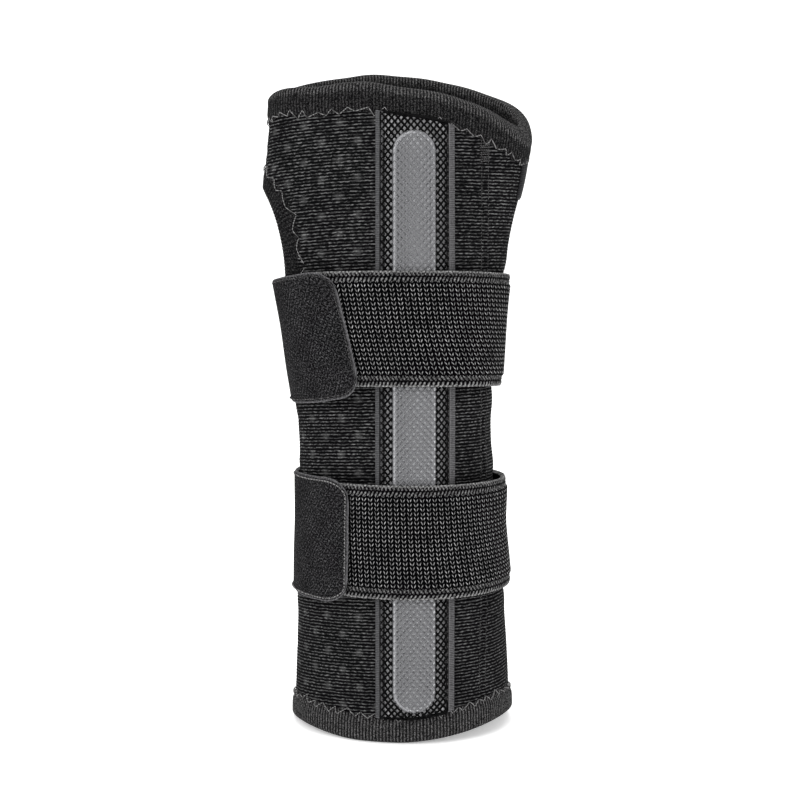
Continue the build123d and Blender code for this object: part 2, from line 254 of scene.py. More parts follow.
    def walk(self, angle: Array, z: Array, lifts: Lifts) -> Array:
        """The distance round the sleeve from the middle of the palm side, below 0 on the thumb side."""
        angle = np.asarray(angle, float)
        thumb, finger, half, _ = self.at(z)
        total = np.zeros_like(angle)
        parts = 40
        for k in range(parts):
            a = angle * (k + 0.5) / parts
            reach_x = np.where(np.sin(a) < 0, thumb + lifts.thumb, finger + lifts.finger)
            reach_y = half + np.where(np.cos(a) > 0, lifts.front, lifts.back)
            total += np.hypot(reach_x * np.cos(a), reach_y * np.sin(a)) * angle / parts
        return total

    def hand_edge(self, xyz: Array) -> Array:
        """The hand end's height above each point."""
        x = (xyz[..., 0] - self.stay_x - self.hand_slant_x * xyz[..., 1]) / MM
        edge = curve(x, self.hand_edge_x, self.hand_edge_z) * MM + self.hand_slant_z * xyz[..., 1]
        beside = (xyz[..., 0] - self.stay_x) / MM
        back = step(-12.0 * MM, 8.0 * MM, xyz[..., 1])
        behind, before = curve(beside, self.rim_x, self.back_rim), curve(beside, self.rim_x, self.front_rim)
        return edge + (back * behind + (1 - back) * before) * MM

    def forearm_edge(self, xyz: Array) -> Array:
        """The forearm end's height above each point."""
        away = xyz[..., 0] - self.stay_x - self.forearm_low_x
        arch = self.forearm_radius - np.sqrt(self.forearm_radius**2 - away**2)
        arch = arch * np.where(away < 0, *self.forearm_flat)
        return np.maximum(arch - self.forearm_slope * (xyz[..., 1] - self.palm_y), 0.0)

    def seam_angle(self, z: Array, x: float) -> Array:
        """The angle on the finger side where a seam stands x from the stay."""
        return np.arcsin(np.clip(x / self.at(z)[1], -1, 1))

    def side_angle(self, z: Array, y: float) -> Array:
        """The angle from the palm side at which the sleeve is at a given y."""
        _, _, half, middle = self.at(z)
        return np.arccos(np.clip((middle - y) / half, -1, 1))

    def hole_share(self, xyz: Array) -> Array:
        """How far out each point is from the thumb hole's middle: 1 on its edge, large elsewhere."""
        y0, z0 = self.hole_middle()
        ry = (xyz[..., 1] - y0) / self.hole_half_width
        rz = (xyz[..., 2] - z0) / self.hole_half_height
        return np.where(xyz[..., 0] < self.stay_x, np.hypot(ry, rz), 9.0)

    def hole_middle(self) -> tuple[float, float]:
        """The y and z of the thumb hole's middle."""
        return float(self.at(self.hole_height)[3]) + self.hole_back_shift, self.hole_height

    def thumb_angle(self, y: Array, z: Array, lift: float) -> Array:
        """The angle on the thumb side, from three quarters of a turn, where a skin is at y and z."""
        _, _, half, middle = self.at(z)
        return 2 * math.pi - np.arccos(np.clip((middle - y) / (half + lift), -1, 1))


FORM = SleeveForm()
KNIT_WALL, FOAM_WALL, LINING_WALL, BINDING = 1.0 * MM, 2.0 * MM, 0.8 * MM, 0.9 * MM
WALL = KNIT_WALL + FOAM_WALL + LINING_WALL
SIDE_SEAM_Y = -2.0 * MM
STAY_FOOT_MM, STAY_HEAD_MM = 18.15, 196.9
FINGER_SEAM_X = 23.5 * MM


# ---------------------------------------------------------------- finishes


def linear(colour: str) -> tuple[float, float, float, float]:
    """Turns an sRGB hex colour to linear light.

    Args:
        colour: Such as "#1a1a1c".

    Returns:
        Red, green, blue and 1.
    """
    parts = [int(colour[i : i + 2], 16) / 255 for i in (1, 3, 5)]
    light = [c / 12.92 if c <= 0.04045 else ((c + 0.055) / 1.055) ** 2.4 for c in parts]
    return light[0], light[1], light[2], 1.0


def put(tree: NodeTree, kind: str, settings: dict | None = None, sockets: dict | None = None) -> Node:
    """Adds a node with its settings, values and links.

    Args:
        tree: The material's nodes.
        kind: The node's type, such as "TexNoise", without its prefix.
        settings: The node's own properties.
        sockets: A value, or another node's output, for each input by name or number.

    Returns:
        The node.
    """
    node = tree.nodes.new("ShaderNode" + kind)
    for key, value in (settings or {}).items():
        setattr(node, key, value)
    for key, value in (sockets or {}).items():
        if isinstance(value, NodeSocket):
            tree.links.new(value, node.inputs[key])
        else:
            node.inputs[key].default_value = value
    return node


@dataclass(frozen=True)
class Finish:
    """What a piece is made of. Colours run from the darkest marks of its surface to the lightest, which on
    some cloths are painted highlights.
    """

    name: str
    deep: str
    high: str
    roughness: float = 0.8
    specular: float = 0.3
    sheen: float = 0.0
    metallic: float = 0.0
    glow: float = 0.0
    sunk: float = 0.06

    def sum(self, tree: NodeTree, kind: str, *values: float | NodeSocket) -> NodeSocket:
        """One step of arithmetic."""
        return put(tree, "Math", {"operation": kind}, dict(enumerate(values))).outputs[0]

    def mark(self, tree: NodeTree, name: str) -> NodeSocket:
        """One of the piece's own marks, from 0 to 1."""
        return put(tree, "Attribute", {"attribute_name": name}).outputs["Fac"]

    def flat_mm(self, tree: NodeTree, turn: float = 0.0) -> NodeSocket:
        """The place on the flat cut, in millimetres, turned if the cloth's grain is."""
        uv = put(tree, "UVMap", {"uv_map": "UVMap"}).outputs[0]
        scale = {"Vector": uv, "Scale": (1000, 1000, 1000), "Rotation": (0, 0, turn)}
        return put(tree, "Mapping", {}, scale).outputs[0]

    def space_mm(self, tree: NodeTree) -> NodeSocket:
        """The place in the object's own space, in millimetres."""
        here = put(tree, "TexCoord").outputs["Object"]
        return put(tree, "Mapping", {}, {"Vector": here, "Scale": (1000, 1000, 1000)}).outputs[0]

    def noise(self, tree: NodeTree, vector: NodeSocket, per_mm: float, detail: float = 3.0) -> NodeSocket:
        """Soft unevenness, that many lumps to the millimetre."""
        sockets = {"Vector": vector, "Scale": per_mm, "Detail": detail, "Roughness": 0.6}
        return put(tree, "TexNoise", {}, sockets).outputs[0]

    def relief(self, tree: NodeTree) -> tuple[NodeSocket, NodeSocket, float]:
        """The surface's pattern.

        Args:
            tree: The material's nodes.

        Returns:
            How light each place is from 0 to 1, how high it is from 0 to 1, and the height in metres.
        """
        grain = self.noise(tree, self.space_mm(tree), 2.0)
        return grain, grain, 0.05 * MM

    def build(self) -> Material:
        """Makes the material once, and gives it again when asked again."""
        made = bpy.data.materials.get(self.name)
        if made:
            return made
        made = bpy.data.materials.new(self.name)
        made.use_nodes = True
        tree = made.node_tree
        shader = tree.nodes["Principled BSDF"]
        light, height, depth = self.relief(tree)
        colours = put(tree, "ValToRGB", {}, {"Fac": light})
        colours.color_ramp.elements[0].position = self.sunk
        colours.color_ramp.elements[0].color = linear(self.deep)
        colours.color_ramp.elements[1].color = linear(self.high)
        tree.links.new(colours.outputs["Color"], shader.inputs["Base Color"])
        bump = put(tree, "Bump", {}, {"Height": height, "Distance": depth, "Strength": 1.0})
        tree.links.new(bump.outputs["Normal"], shader.inputs["Normal"])
        rough = {"Value": light, 3: self.roughness + 0.06, 4: self.roughness - 0.06}
        spread = put(tree, "MapRange", {}, rough)
        tree.links.new(spread.outputs[0], shader.inputs["Roughness"])
        shader.inputs["Specular IOR Level"].default_value = self.specular
        shader.inputs["Sheen Weight"].default_value = self.sheen
        shader.inputs["Sheen Roughness"].default_value = 0.5
        shader.inputs["Metallic"].default_value = self.metallic
        shader.inputs["Emission Color"].default_value = linear("#ffffff")
        shader.inputs["Emission Strength"].default_value = self.glow
        return made


class CrossRibKnit(Finish):
    """Brushed polyester knit, ribbed across: rows of small stitches 1.1 mm apart on a dark ground, with
    painted highlights on the rows' crests and specks, paler where the foam's perforations show through."""

    def relief(self, tree: NodeTree) -> tuple[NodeSocket, NodeSocket, float]:
        """Rows of stitches with painted highlights, uneven in tone, with fuzz between."""
        flat = self.flat_mm(tree)
        bent = put(tree, "TexNoise", {}, {"Vector": flat, "Scale": 0.5, "Detail": 3.0})
        drift = put(tree, "VectorMath", {"operation": "MULTIPLY_ADD"},
                    {0: bent.outputs["Color"], 1: (2.4, 0.5, 0.0), 2: flat})
        place = put(tree, "SeparateXYZ", {}, {0: drift.outputs[0]})
        row = self.sum(tree, "MULTIPLY", place.outputs[1], 2 * math.pi / 1.1)
        ridge = self.sum(tree, "MULTIPLY_ADD", self.sum(tree, "COSINE", row, 0.0), 0.5, 0.5)
        ridge = self.sum(tree, "POWER", ridge, 1.7)
        wide = put(tree, "Mapping", {}, {"Vector": drift.outputs[0], "Scale": (0.8, 1.82, 1)}).outputs[0]
        specks = self.noise(tree, wide, 1.0, 1.5)
        highlight_dashes = put(tree, "MapRange", {}, {"Value": specks, 1: 0.44, 2: 0.7})
        fuzz = self.noise(tree, flat, 2.6, 4.0)
        patch = self.noise(tree, flat, 0.08, 2.0)
        # painted highlight: light on each row's crest and its specks, falling to the dark ground in the
        # furrows
        tone = self.sum(tree, "MULTIPLY", ridge, self.sum(tree, "MULTIPLY_ADD", highlight_dashes.outputs[0], 0.7, 0.14))
        tone = self.sum(tree, "MULTIPLY", tone, self.sum(tree, "ADD", patch, 0.4))
        dots = self.sum(tree, "MULTIPLY", self.mark(tree, "dot"), self.sum(tree, "MULTIPLY", fuzz, 0.34))
        return self.sum(tree, "ADD", tone, dots), self.sum(tree, "ADD", ridge, fuzz), 0.10 * MM


class RibbedBinding(Finish):
    """Folded elastic binding: a dark fuzzy band with ribs across its fold, their highlights painted light."""

    def relief(self, tree: NodeTree) -> tuple[NodeSocket, NodeSocket, float]:
        """The ribs' own mark as a painted highlight, broken up by fuzz."""
        space = self.space_mm(tree)
        fuzz = self.noise(tree, space, 2.6, 5.0)
        fuzz_patches = put(tree, "MapRange", {}, {"Value": fuzz, 1: 0.4, 2: 0.72}).outputs[0]
        # painted highlight on the ribs, its strength broken up by random fuzz patches, which also add a
        # little random lightness
        shine = self.sum(tree, "MULTIPLY_ADD", fuzz_patches, 0.7, 0.08)
        ribs = self.sum(tree, "MULTIPLY", self.mark(tree, "rib"), shine)
        tone = self.sum(tree, "ADD", ribs, self.sum(tree, "MULTIPLY", fuzz_patches, 0.2))
        return tone, fuzz, 0.14 * MM


class JerseyLining(Finish):
    """Plain jersey against the skin: fine wales that run up the sleeve."""

    def relief(self, tree: NodeTree) -> tuple[NodeSocket, NodeSocket, float]:
        """Wales 1 mm apart, drawn a little coarser than the real ones so that they show."""
        flat = self.flat_mm(tree)
        sockets = {"Vector": flat, "Scale": 1.0, "Distortion": 0.6, "Detail": 2.0}
        wales = put(tree, "TexWave", {"bands_direction": "X"}, sockets).outputs["Fac"]
        fuzz = self.noise(tree, flat, 2.0, 4.0)
        return self.sum(tree, "MULTIPLY", wales, fuzz), wales, 0.12 * MM


class PerforatedFoam(Finish):
    """Open-cell foam punched with holes: matt, pitted, darker in each hole."""

    def relief(self, tree: NodeTree) -> tuple[NodeSocket, NodeSocket, float]:
        """Cells half a millimetre wide."""
        cells = put(tree, "TexVoronoi", {}, {"Vector": self.space_mm(tree), "Scale": 2.0}).outputs[0]
        holes = self.sum(tree, "SUBTRACT", 1.0, self.mark(tree, "dot"))
        return self.sum(tree, "MULTIPLY", cells, holes), cells, 0.2 * MM


class MillAluminium(Finish):
    """Rolled aluminium strip: a grey metal with fine rolling lines along its length."""

    def relief(self, tree: NodeTree) -> tuple[NodeSocket, NodeSocket, float]:
        """Rolling lines, 20 times as long as they are wide."""
        here = put(tree, "Mapping", {}, {"Vector": self.space_mm(tree), "Scale": (6.0, 6.0, 0.3)}).outputs[0]
        lines = self.noise(tree, here, 1.0, 4.0)
        return lines, lines, 0.01 * MM


class PolyesterNet(Finish):
    """Knitted net of black filament yarn. Stretched thin over the stay it lets the metal's grey through."""

    def relief(self, tree: NodeTree) -> tuple[NodeSocket, NodeSocket, float]:
        """Filaments a quarter of a millimetre apart, with the stay's grey seen behind them and a painted
        highlight along the stay's edge, stronger on the thumb side.
        """
        here = self.space_mm(tree)
        grain = self.noise(tree, here, 4.0)
        place = put(tree, "SeparateXYZ", {}, {0: here})
        level = put(tree, "Clamp", {}, {"Value": place.outputs[2], "Min": STAY_FOOT_MM, "Max": STAY_HEAD_MM})
        spine = put(tree, "CombineXYZ", {}, {0: FORM.stay_x / MM, 1: place.outputs[1], 2: level.outputs[0]})
        ends = {0: here, 1: spine.outputs[0]}
        away = put(tree, "VectorMath", {"operation": "DISTANCE"}, ends).outputs["Value"]
        thin = put(tree, "MapRange", {}, {"Value": away, 1: 7.2, 2: 6.9, 4: 0.5}).outputs[0]
        # painted highlight: a bright line along the stay's edge, stronger on the thumb side
        rim = self.sum(tree, "ABSOLUTE", self.sum(tree, "SUBTRACT", away, 6.45), 0.0)
        rim = put(tree, "MapRange", {}, {"Value": rim, 1: 0.5, 2: 0.1, 4: 0.5}).outputs[0]
        near = self.sum(tree, "LESS_THAN", place.outputs[0], FORM.stay_x / MM)
        rim = self.sum(tree, "MULTIPLY", rim, self.sum(tree, "MULTIPLY_ADD", near, 0.8, 0.1))
        thin = self.sum(tree, "ADD", self.sum(tree, "ADD", thin, rim), self.sum(tree, "MULTIPLY", grain, 0.1))
        return thin, grain, 0.05 * MM


class WovenBacking(Finish):
    """Plain woven cloth behind the stay, paler than the net in front of it: painted near-white so that it
    shows through the net's holes as bright dots, a painted stand-in for glints on the net's knots.
    """


class SatinTape(Finish):
    """Woven satin tape: fine cross ribs with a soft shine."""

    def relief(self, tree: NodeTree) -> tuple[NodeSocket, NodeSocket, float]:
        """Ribs 0.6 mm apart along the tape."""
        flat = self.flat_mm(tree)
        sockets = {"Vector": flat, "Scale": 0.52, "Distortion": 0.5, "Detail": 1.0}
        ribs = put(tree, "TexWave", {"bands_direction": "Y"}, sockets).outputs["Fac"]
        fuzz = self.noise(tree, flat, 1.2, 3.0)
        edge = self.mark(tree, "edge")
        tone = self.sum(tree, "MULTIPLY", self.sum(tree, "ADD", ribs, 0.5), fuzz)
        return self.sum(tree, "ADD", tone, edge), ribs, 0.06 * MM


class WovenElastic(Finish):
    """Woven elastic webbing: columns of raised chevrons on a black ground, their highlights painted light,
    with flat selvedges.
    """

    def relief(self, tree: NodeTree) -> tuple[NodeSocket, NodeSocket, float]:
        """Chevrons in columns, 1.5 mm apart along each, between the selvedges' ticks, with the highlights of
        both painted light.
        """
        flat = self.flat_mm(tree)
        share = self.sum(tree, "FRACT", self.mark(tree, "column"), 0.0)
        side = self.sum(tree, "ABSOLUTE", self.sum(tree, "MULTIPLY_ADD", share, 2.0, -1.0), 0.0)
        rise = self.sum(tree, "MULTIPLY", put(tree, "SeparateXYZ", {}, {0: flat}).outputs[1], 1 / 1.5)
        turn = self.sum(tree, "MULTIPLY", self.sum(tree, "MULTIPLY_ADD", side, -1.1, rise), 2 * math.pi)
        chevron_highlight = self.sum(tree, "MULTIPLY_ADD", self.sum(tree, "COSINE", turn, 0.0), 0.5, 0.5)
        outer = put(tree, "MapRange", {}, {"Value": side, 1: 0.76, 2: 0.54}).outputs[0]
        inner = put(tree, "MapRange", {}, {"Value": side, 1: 0.1, 2: 0.3}).outputs[0]
        chevron_highlight = self.sum(tree, "MULTIPLY", self.sum(tree, "POWER", chevron_highlight, 3.0), outer)
        chevron_highlight = self.sum(tree, "MULTIPLY", chevron_highlight, inner)
        chevron_highlight = self.sum(tree, "MULTIPLY", chevron_highlight, self.mark(tree, "body"))
        fuzz = self.noise(tree, flat, 1.5, 4.0)
        # painted highlight: the chevrons and the selvedges' ticks are painted light on the black elastic
        yarn = self.sum(tree, "ADD", self.mark(tree, "yarn"), chevron_highlight)
        fleck = put(tree, "MapRange", {}, {"Value": fuzz, 1: 0.42, 2: 0.68}).outputs[0]
        tone = self.sum(tree, "MULTIPLY", yarn, self.sum(tree, "MULTIPLY_ADD", fleck, 0.6, 0.26))
        patch = self.noise(tree, flat, 0.12, 2.0)
        tone = self.sum(tree, "MULTIPLY", tone, self.sum(tree, "ADD", patch, 0.5))
        return tone, fuzz, 0.08 * MM


class BrushedLaminate(Finish):
    """Brushed loop cloth on a stiff backing: a napped dark grey with faint slanting ribs."""

    def relief(self, tree: NodeTree) -> tuple[NodeSocket, NodeSocket, float]:
        """Ribs 1.3 mm apart that slant, half lost under the nap."""
        flat = self.flat_mm(tree, 0.62)
        sockets = {"Vector": flat, "Scale": 0.24, "Distortion": 0.8, "Detail": 2.0}
        ribs = put(tree, "TexWave", {"bands_direction": "X"}, sockets).outputs["Fac"]
        nap = self.noise(tree, flat, 1.9, 5.0)
        flecks = put(tree, "MapRange", {}, {"Value": nap, 1: 0.45, 2: 0.7})
        tone = self.sum(tree, "MULTIPLY", self.sum(tree, "MULTIPLY_ADD", ribs, 0.3, 0.4), flecks.outputs[0])
        patch = self.noise(tree, flat, 0.1, 3.0)
        tone = self.sum(tree, "MULTIPLY", tone, self.sum(tree, "ADD", patch, 0.5))
        edge = self.sum(tree, "MULTIPLY", self.mark(tree, "edge"), self.sum(tree, "ADD", nap, 0.2))
        return self.sum(tree, "ADD", tone, edge), nap, 0.12 * MM


class MouldedHooks(Finish):
    """Moulded nylon hook tape: smooth, slightly glossy plastic."""


class SewingThread(Finish):
    """Twisted polyester thread, with its plies 0.5 mm apart."""

    def relief(self, tree: NodeTree) -> tuple[NodeSocket, NodeSocket, float]:
        """The twist."""
        sockets = {"Vector": self.space_mm(tree), "Scale": 0.6, "Distortion": 1.0}
        twist = put(tree, "TexWave", {"bands_direction": "DIAGONAL"}, sockets).outputs["Fac"]
        return twist, twist, 0.05 * MM


class StudioPaper(Finish):
    """Matt white background paper."""


# the knit's high colour is its painted highlight on black yarn
KNIT_CLOTH = CrossRibKnit("cross_rib_polyester_knit", "#040405", "#838383", 0.92, 0.04)
# the binding's high colour is the painted highlight on its ribs
BINDING_CLOTH = RibbedBinding("ribbed_polyester_binding", "#040405", "#8c8b8b", 0.92, 0.04)
LINING_CLOTH = JerseyLining("cotton_jersey_lining", "#0c0c0e", "#3a393b", 0.9, 0.1, 0.03)
FOAM_CORE = PerforatedFoam("open_cell_polyurethane_foam", "#1c1c1d", "#5d5d5f", 0.95, 0.15)
STAY_METAL = MillAluminium("rolled_aluminium", "#b4b5b8", "#dcdddf", 0.5, 0.5, 0.0, 1.0)
# the net's high colour serves both the stay's grey seen through it and the painted highlight on the stay's
# edge
NET_YARN = PolyesterNet("knitted_polyester_net", "#030304", "#a4a4a7", 0.6, 0.1)
# the backing's pale colours are a painted stand-in for glints on the net's knots, seen through the net's
# holes
BACKING_CLOTH = WovenBacking("woven_polyester_backing", "#9a9a9c", "#f0f0f2", 0.7, 0.2)
GREY_TAPE = SatinTape("grey_satin_tape", "#1c1c1d", "#5e5e60", 0.6, 0.15)
LABEL_CLOTH = SatinTape("black_satin_label", "#040405", "#2c2c2e", 0.7, 0.08)
DARK_TAPE = SatinTape("dark_satin_tape", "#0c0c0d", "#6a696b", 0.6, 0.15)
# the elastic's high colour is the painted highlight on its yarn
ELASTIC = WovenElastic("woven_rib_elastic", "#020203", "#d8d7d7", 0.85, 0.02)
TAB_CLOTH = BrushedLaminate("brushed_nylon_laminate", "#050506", "#727173", 0.94, 0.03)
HOOK_TAPE = MouldedHooks("moulded_nylon_hook_tape", "#101011", "#2c2c2e", 0.45, 0.4)
PALE_THREAD = SewingThread("pale_grey_polyester_thread", "#3e3d3d", "#8b8a8a", 0.7, 0.15)
DARK_THREAD = SewingThread("dark_grey_polyester_thread", "#1c1c1d", "#565555", 0.75, 0.15)
PAPER = StudioPaper("matt_background_paper", "#f6f6f6", "#fcfcfc", 0.9, 0.1, glow=0.34)


# ---------------------------------------------------------------- cloth, thread and pieces


@dataclass
class Laid:
    """Where a cloth's points lie: in space, on its flat cut, and the marks that its finish reads."""

    place: Array
    flat: Array
    marks: dict[str, Array] = field(default_factory=dict)


Layout = Callable[[Array, Array], Laid]


def alone(piece: Object) -> None:
    """Selects one piece and nothing else."""
    bpy.ops.object.select_all(action="DESELECT")
    piece.select_set(True)
    bpy.context.view_layer.objects.active = piece


def edit(piece: Object, *steps: tuple[Callable, dict]) -> None:
    """Runs operators on all of a piece in edit mode.

    Args:
        piece: The mesh.
        steps: Each operator with its settings.
    """
    alone(piece)
    bpy.ops.object.mode_set(mode="EDIT")
    bpy.ops.mesh.select_all(action="SELECT")
    for operator, settings in steps:
        operator(**settings)
    bpy.ops.object.mode_set(mode="OBJECT")


def modify(piece: Object, kind: str, **settings: object) -> None:
    """Adds a modifier and applies it.

    Args:
        piece: The mesh.
        kind: The modifier's type.
        settings: Its properties.
    """
    alone(piece)
    modifier = piece.modifiers.new(kind.lower(), kind)
    for key, value in settings.items():
        setattr(modifier, key, value)
    bpy.ops.object.modifier_apply(modifier=modifier.name)


def corners(piece: Object) -> Array:
    """A mesh's points."""
    found = np.empty(len(piece.data.vertices) * 3)
    piece.data.vertices.foreach_get("co", found)
    return found.reshape(-1, 3)


def move_corners(piece: Object, places: Array) -> None:
    """Puts a mesh's points where they are asked to be."""
    piece.data.vertices.foreach_set("co", np.ascontiguousarray(places, float).ravel())
    piece.data.update()


def dress(piece: Object, finish: Finish, body: str | None) -> Object:
    """Gives a piece its finish, slot and body.

    Args:
        piece: The mesh.
        finish: What it is made of.
        body: The body that it rides on, or None for none.

    Returns:
        The piece.
    """
    piece.data.materials.clear()
    piece.data.materials.append(finish.build())
    alone(piece)
    bpy.ops.object.shade_smooth_by_angle(angle=math.radians(50))
    if body:
        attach(piece, body)
    LOG.info("%s: %d faces", piece.name, len(piece.data.polygons))
    return piece


def flat_area(piece: Object) -> float:
    """The area of a cloth's flat cut in square metres, from its flat places."""
    mesh = piece.data
    uv = np.empty(len(mesh.loops) * 2)
    mesh.uv_layers["UVMap"].data.foreach_get("uv", uv)
    uv = uv.reshape(-1, 2)
    total = 0.0
    for face in mesh.polygons:
        run = uv[face.loop_start : face.loop_start + face.loop_total]
        after = np.roll(run, -1, axis=0)
        total += abs(float((run[:, 0] * after[:, 1] - run[:, 1] * after[:, 0]).sum())) / 2
    return total


def cut_cloth(name: str, cells: tuple[int, int], layout: Layout, hole: float | None = None,
              joined: bool = False) -> Object:
    """Cuts a flat cloth and lays it in place, one layer thick.

    Args:
        name: The piece's name.
        cells: How many cells it has across and along.
        layout: Where each share across and along goes.
        hole: The lift of the skin if the thumb hole is cut from it.
        joined: Whether its two sides meet in a ring.

    Returns:
        The cloth.
    """
    bpy.ops.object.select_all(action="DESELECT")
    bpy.ops.mesh.primitive_grid_add(x_subdivisions=cells[0], y_subdivisions=cells[1], size=1.0)
    piece = bpy.context.object
    piece.name = piece.data.name = name
    shares = corners(piece) + 0.5
    laid = layout(shares[:, 0], shares[:, 1])
    mesh = piece.data
    index = np.empty(len(mesh.loops), int)
    mesh.loops.foreach_get("vertex_index", index)
    mesh.uv_layers["UVMap"].data.foreach_set("uv", laid.flat[index].ravel())
    for mark, values in laid.marks.items():
        mesh.attributes.new(mark, "FLOAT", "POINT").data.foreach_set("value", values.astype(np.float32))
    if hole is not None:
        cut_thumb_hole(piece, laid.place, hole)
    else:
        move_corners(piece, laid.place)
    if joined:
        edit(piece, (bpy.ops.mesh.remove_doubles, {"threshold": 1e-6}))
    piece["flat_area"] = flat_area(piece)
    return piece


def cut_thumb_hole(piece: Object, places: Array, lift: float) -> None:
    """Takes the thumb hole out of a cloth and trims its edge to the hole's line.

    Args:
        piece: The cloth, still flat.
        places: Where its points go.
        lift: The lift of its skin.
    """
    share = FORM.hole_share(places)
    faces = np.array([p.vertices[:] for p in piece.data.polygons])
    inside = share[faces].mean(axis=1) < 1.0
    rim = np.intersect1d(np.unique(faces[inside]), np.unique(faces[~inside]))
    y0, z0 = FORM.hole_middle()
    y = y0 + (places[rim, 1] - y0) / share[rim]
    z = z0 + (places[rim, 2] - z0) / share[rim]
    places[rim] = FORM.point(FORM.thumb_angle(y, z, lift), z, Lifts.even(lift))
    move_corners(piece, places)
    alone(piece)
    bpy.ops.object.mode_set(mode="EDIT")
    bpy.ops.mesh.select_all(action="DESELECT")
    bpy.ops.object.mode_set(mode="OBJECT")
    piece.data.polygons.foreach_set("select", inside)
    bpy.ops.object.mode_set(mode="EDIT")
    bpy.ops.mesh.select_mode(type="FACE")
    bpy.ops.mesh.delete(type="FACE")
    bpy.ops.mesh.select_mode(type="VERT")
    bpy.ops.object.mode_set(mode="OBJECT")


def thicken(piece: Object, wall: float) -> Object:
    """Gives a cloth its thickness inwards.

    Args:
        piece: The cloth.
        wall: Its thickness in metres.

    Returns:
        The cloth.
    """
    modify(piece, "SOLIDIFY", thickness=wall, offset=-1.0, use_even_offset=False)
    return piece


def stitch_master() -> tuple[Array, list[list[int]]]:
    """One stitch of thread, 1 long along X and 1 in radius, bowed up along Z.

    Returns:
        Its points and its faces.
    """
    bpy.ops.object.select_all(action="DESELECT")
    bpy.ops.mesh.primitive_cylinder_add(vertices=6, radius=1.0, depth=1.0, end_fill_type="NGON",
                                        rotation=(0, math.pi / 2, 0), location=(0.5, 0, 0))
    stitch = bpy.context.object
    bpy.ops.object.transform_apply(location=True, rotation=True, scale=True)
    for x in (0.18, 0.5, 0.82):
        edit(stitch, (bpy.ops.mesh.bisect, {"plane_co": (x, 0, 0), "plane_no": (1, 0, 0)}))
    points = corners(stitch)
    faces = [list(p.vertices) for p in stitch.data.polygons]
    bpy.data.objects.remove(stitch)
    return points, faces


def copies(name: str, points: Array, faces: list[list[int]], places: Array) -> Object:
    """Copies of one small shape as one piece.

    Args:
        name: The piece's name.
        points: The shape's points.
        faces: Its faces.
        places: Where the points of each copy go, as copies by points by 3.

    Returns:
        The piece.
    """
    count = len(points)
    mesh = bpy.data.meshes.new(name)
    every = [[i + k * count for i in face] for k in range(len(places)) for face in faces]
    mesh.from_pydata(places.reshape(-1, 3).tolist(), [], every)
    piece = bpy.data.objects.new(name, mesh)
    bpy.context.scene.collection.objects.link(piece)
    return piece


def sew(name: str, starts: Array, ends: Array, up: Array, radius: float, finish: Finish,
        body: str | None = "root", bow: float = 0.25 * MM) -> Object:
    """A row of stitches.

    Args:
        name: The piece's name.
        starts: Where each stitch comes up.
        ends: Where it goes down.
        up: The direction straight out from the cloth at each.
        radius: The thread's radius.
        finish: The thread's finish.
        body: The body that it rides on.
        bow: How high the thread stands at its middle.

    Returns:
        The stitches.
    """
    points, faces = stitch_master()
    along = ends - starts
    run = along / np.linalg.norm(along, axis=1, keepdims=True)
    side = np.cross(up, run)
    side /= np.linalg.norm(side, axis=1, keepdims=True)
    rise = np.cross(run, side)
    t = points[:, 0]
    lift = bow * np.sin(np.pi * t) - 0.5 * radius * (1 - np.sin(np.pi * t))
    thick = radius * (0.62 + 0.38 * np.sin(np.pi * t))
    places = starts[:, None] + along[:, None] * t[None, :, None]
    places = places + rise[:, None] * (lift + points[:, 2] * thick)[None, :, None]
    places = places + side[:, None] * (points[:, 1] * thick)[None, :, None]
    piece = copies(name, points, faces, places)
    return dress(piece, finish, body)


def paces(points: Array, pace: float, gap: float) -> tuple[Array, Array]:
    """Splits a line into stitches of one length.

    Args:
        points: The line.
        pace: From one stitch's start to the next.
        gap: The cloth between two stitches.

    Returns:
        The starts and the ends.
    """
    walked = lengths_along(points)
    count = int(walked[-1] / pace)
    at = np.arange(count) * pace
    starts = np.stack([np.interp(at, walked, points[:, k]) for k in range(3)], axis=-1)
    ends = np.stack([np.interp(at + pace - gap, walked, points[:, k]) for k in range(3)], axis=-1)
    return starts, ends


# ---------------------------------------------------------------- the padded sleeve


def perforations(across: Array, up: Array) -> Array:
    """How far each place is in one of the foam's punched holes: staggered rows 6.1 mm apart.

    Args:
        across: Place round the sleeve.
        up: Place up the sleeve.

    Returns:
        1 in a hole's middle, 0 outside.
    """
    row = np.round(up / (6.1 * MM))
    shift = np.where(row % 2 == 0, 0.0, 6.25 * MM)
    column = np.round((across - shift) / (12.5 * MM))
    away = np.hypot(across - shift - column * 12.5 * MM, up - row * 6.1 * MM)
    return step(2.2 * MM, 0.4 * MM, away)


class Layer(Enum):
    """The sleeve's layers, by the lift of the layer's outside."""

    KNIT = 0.0
    FOAM = -KNIT_WALL
    LINING = -KNIT_WALL - FOAM_WALL


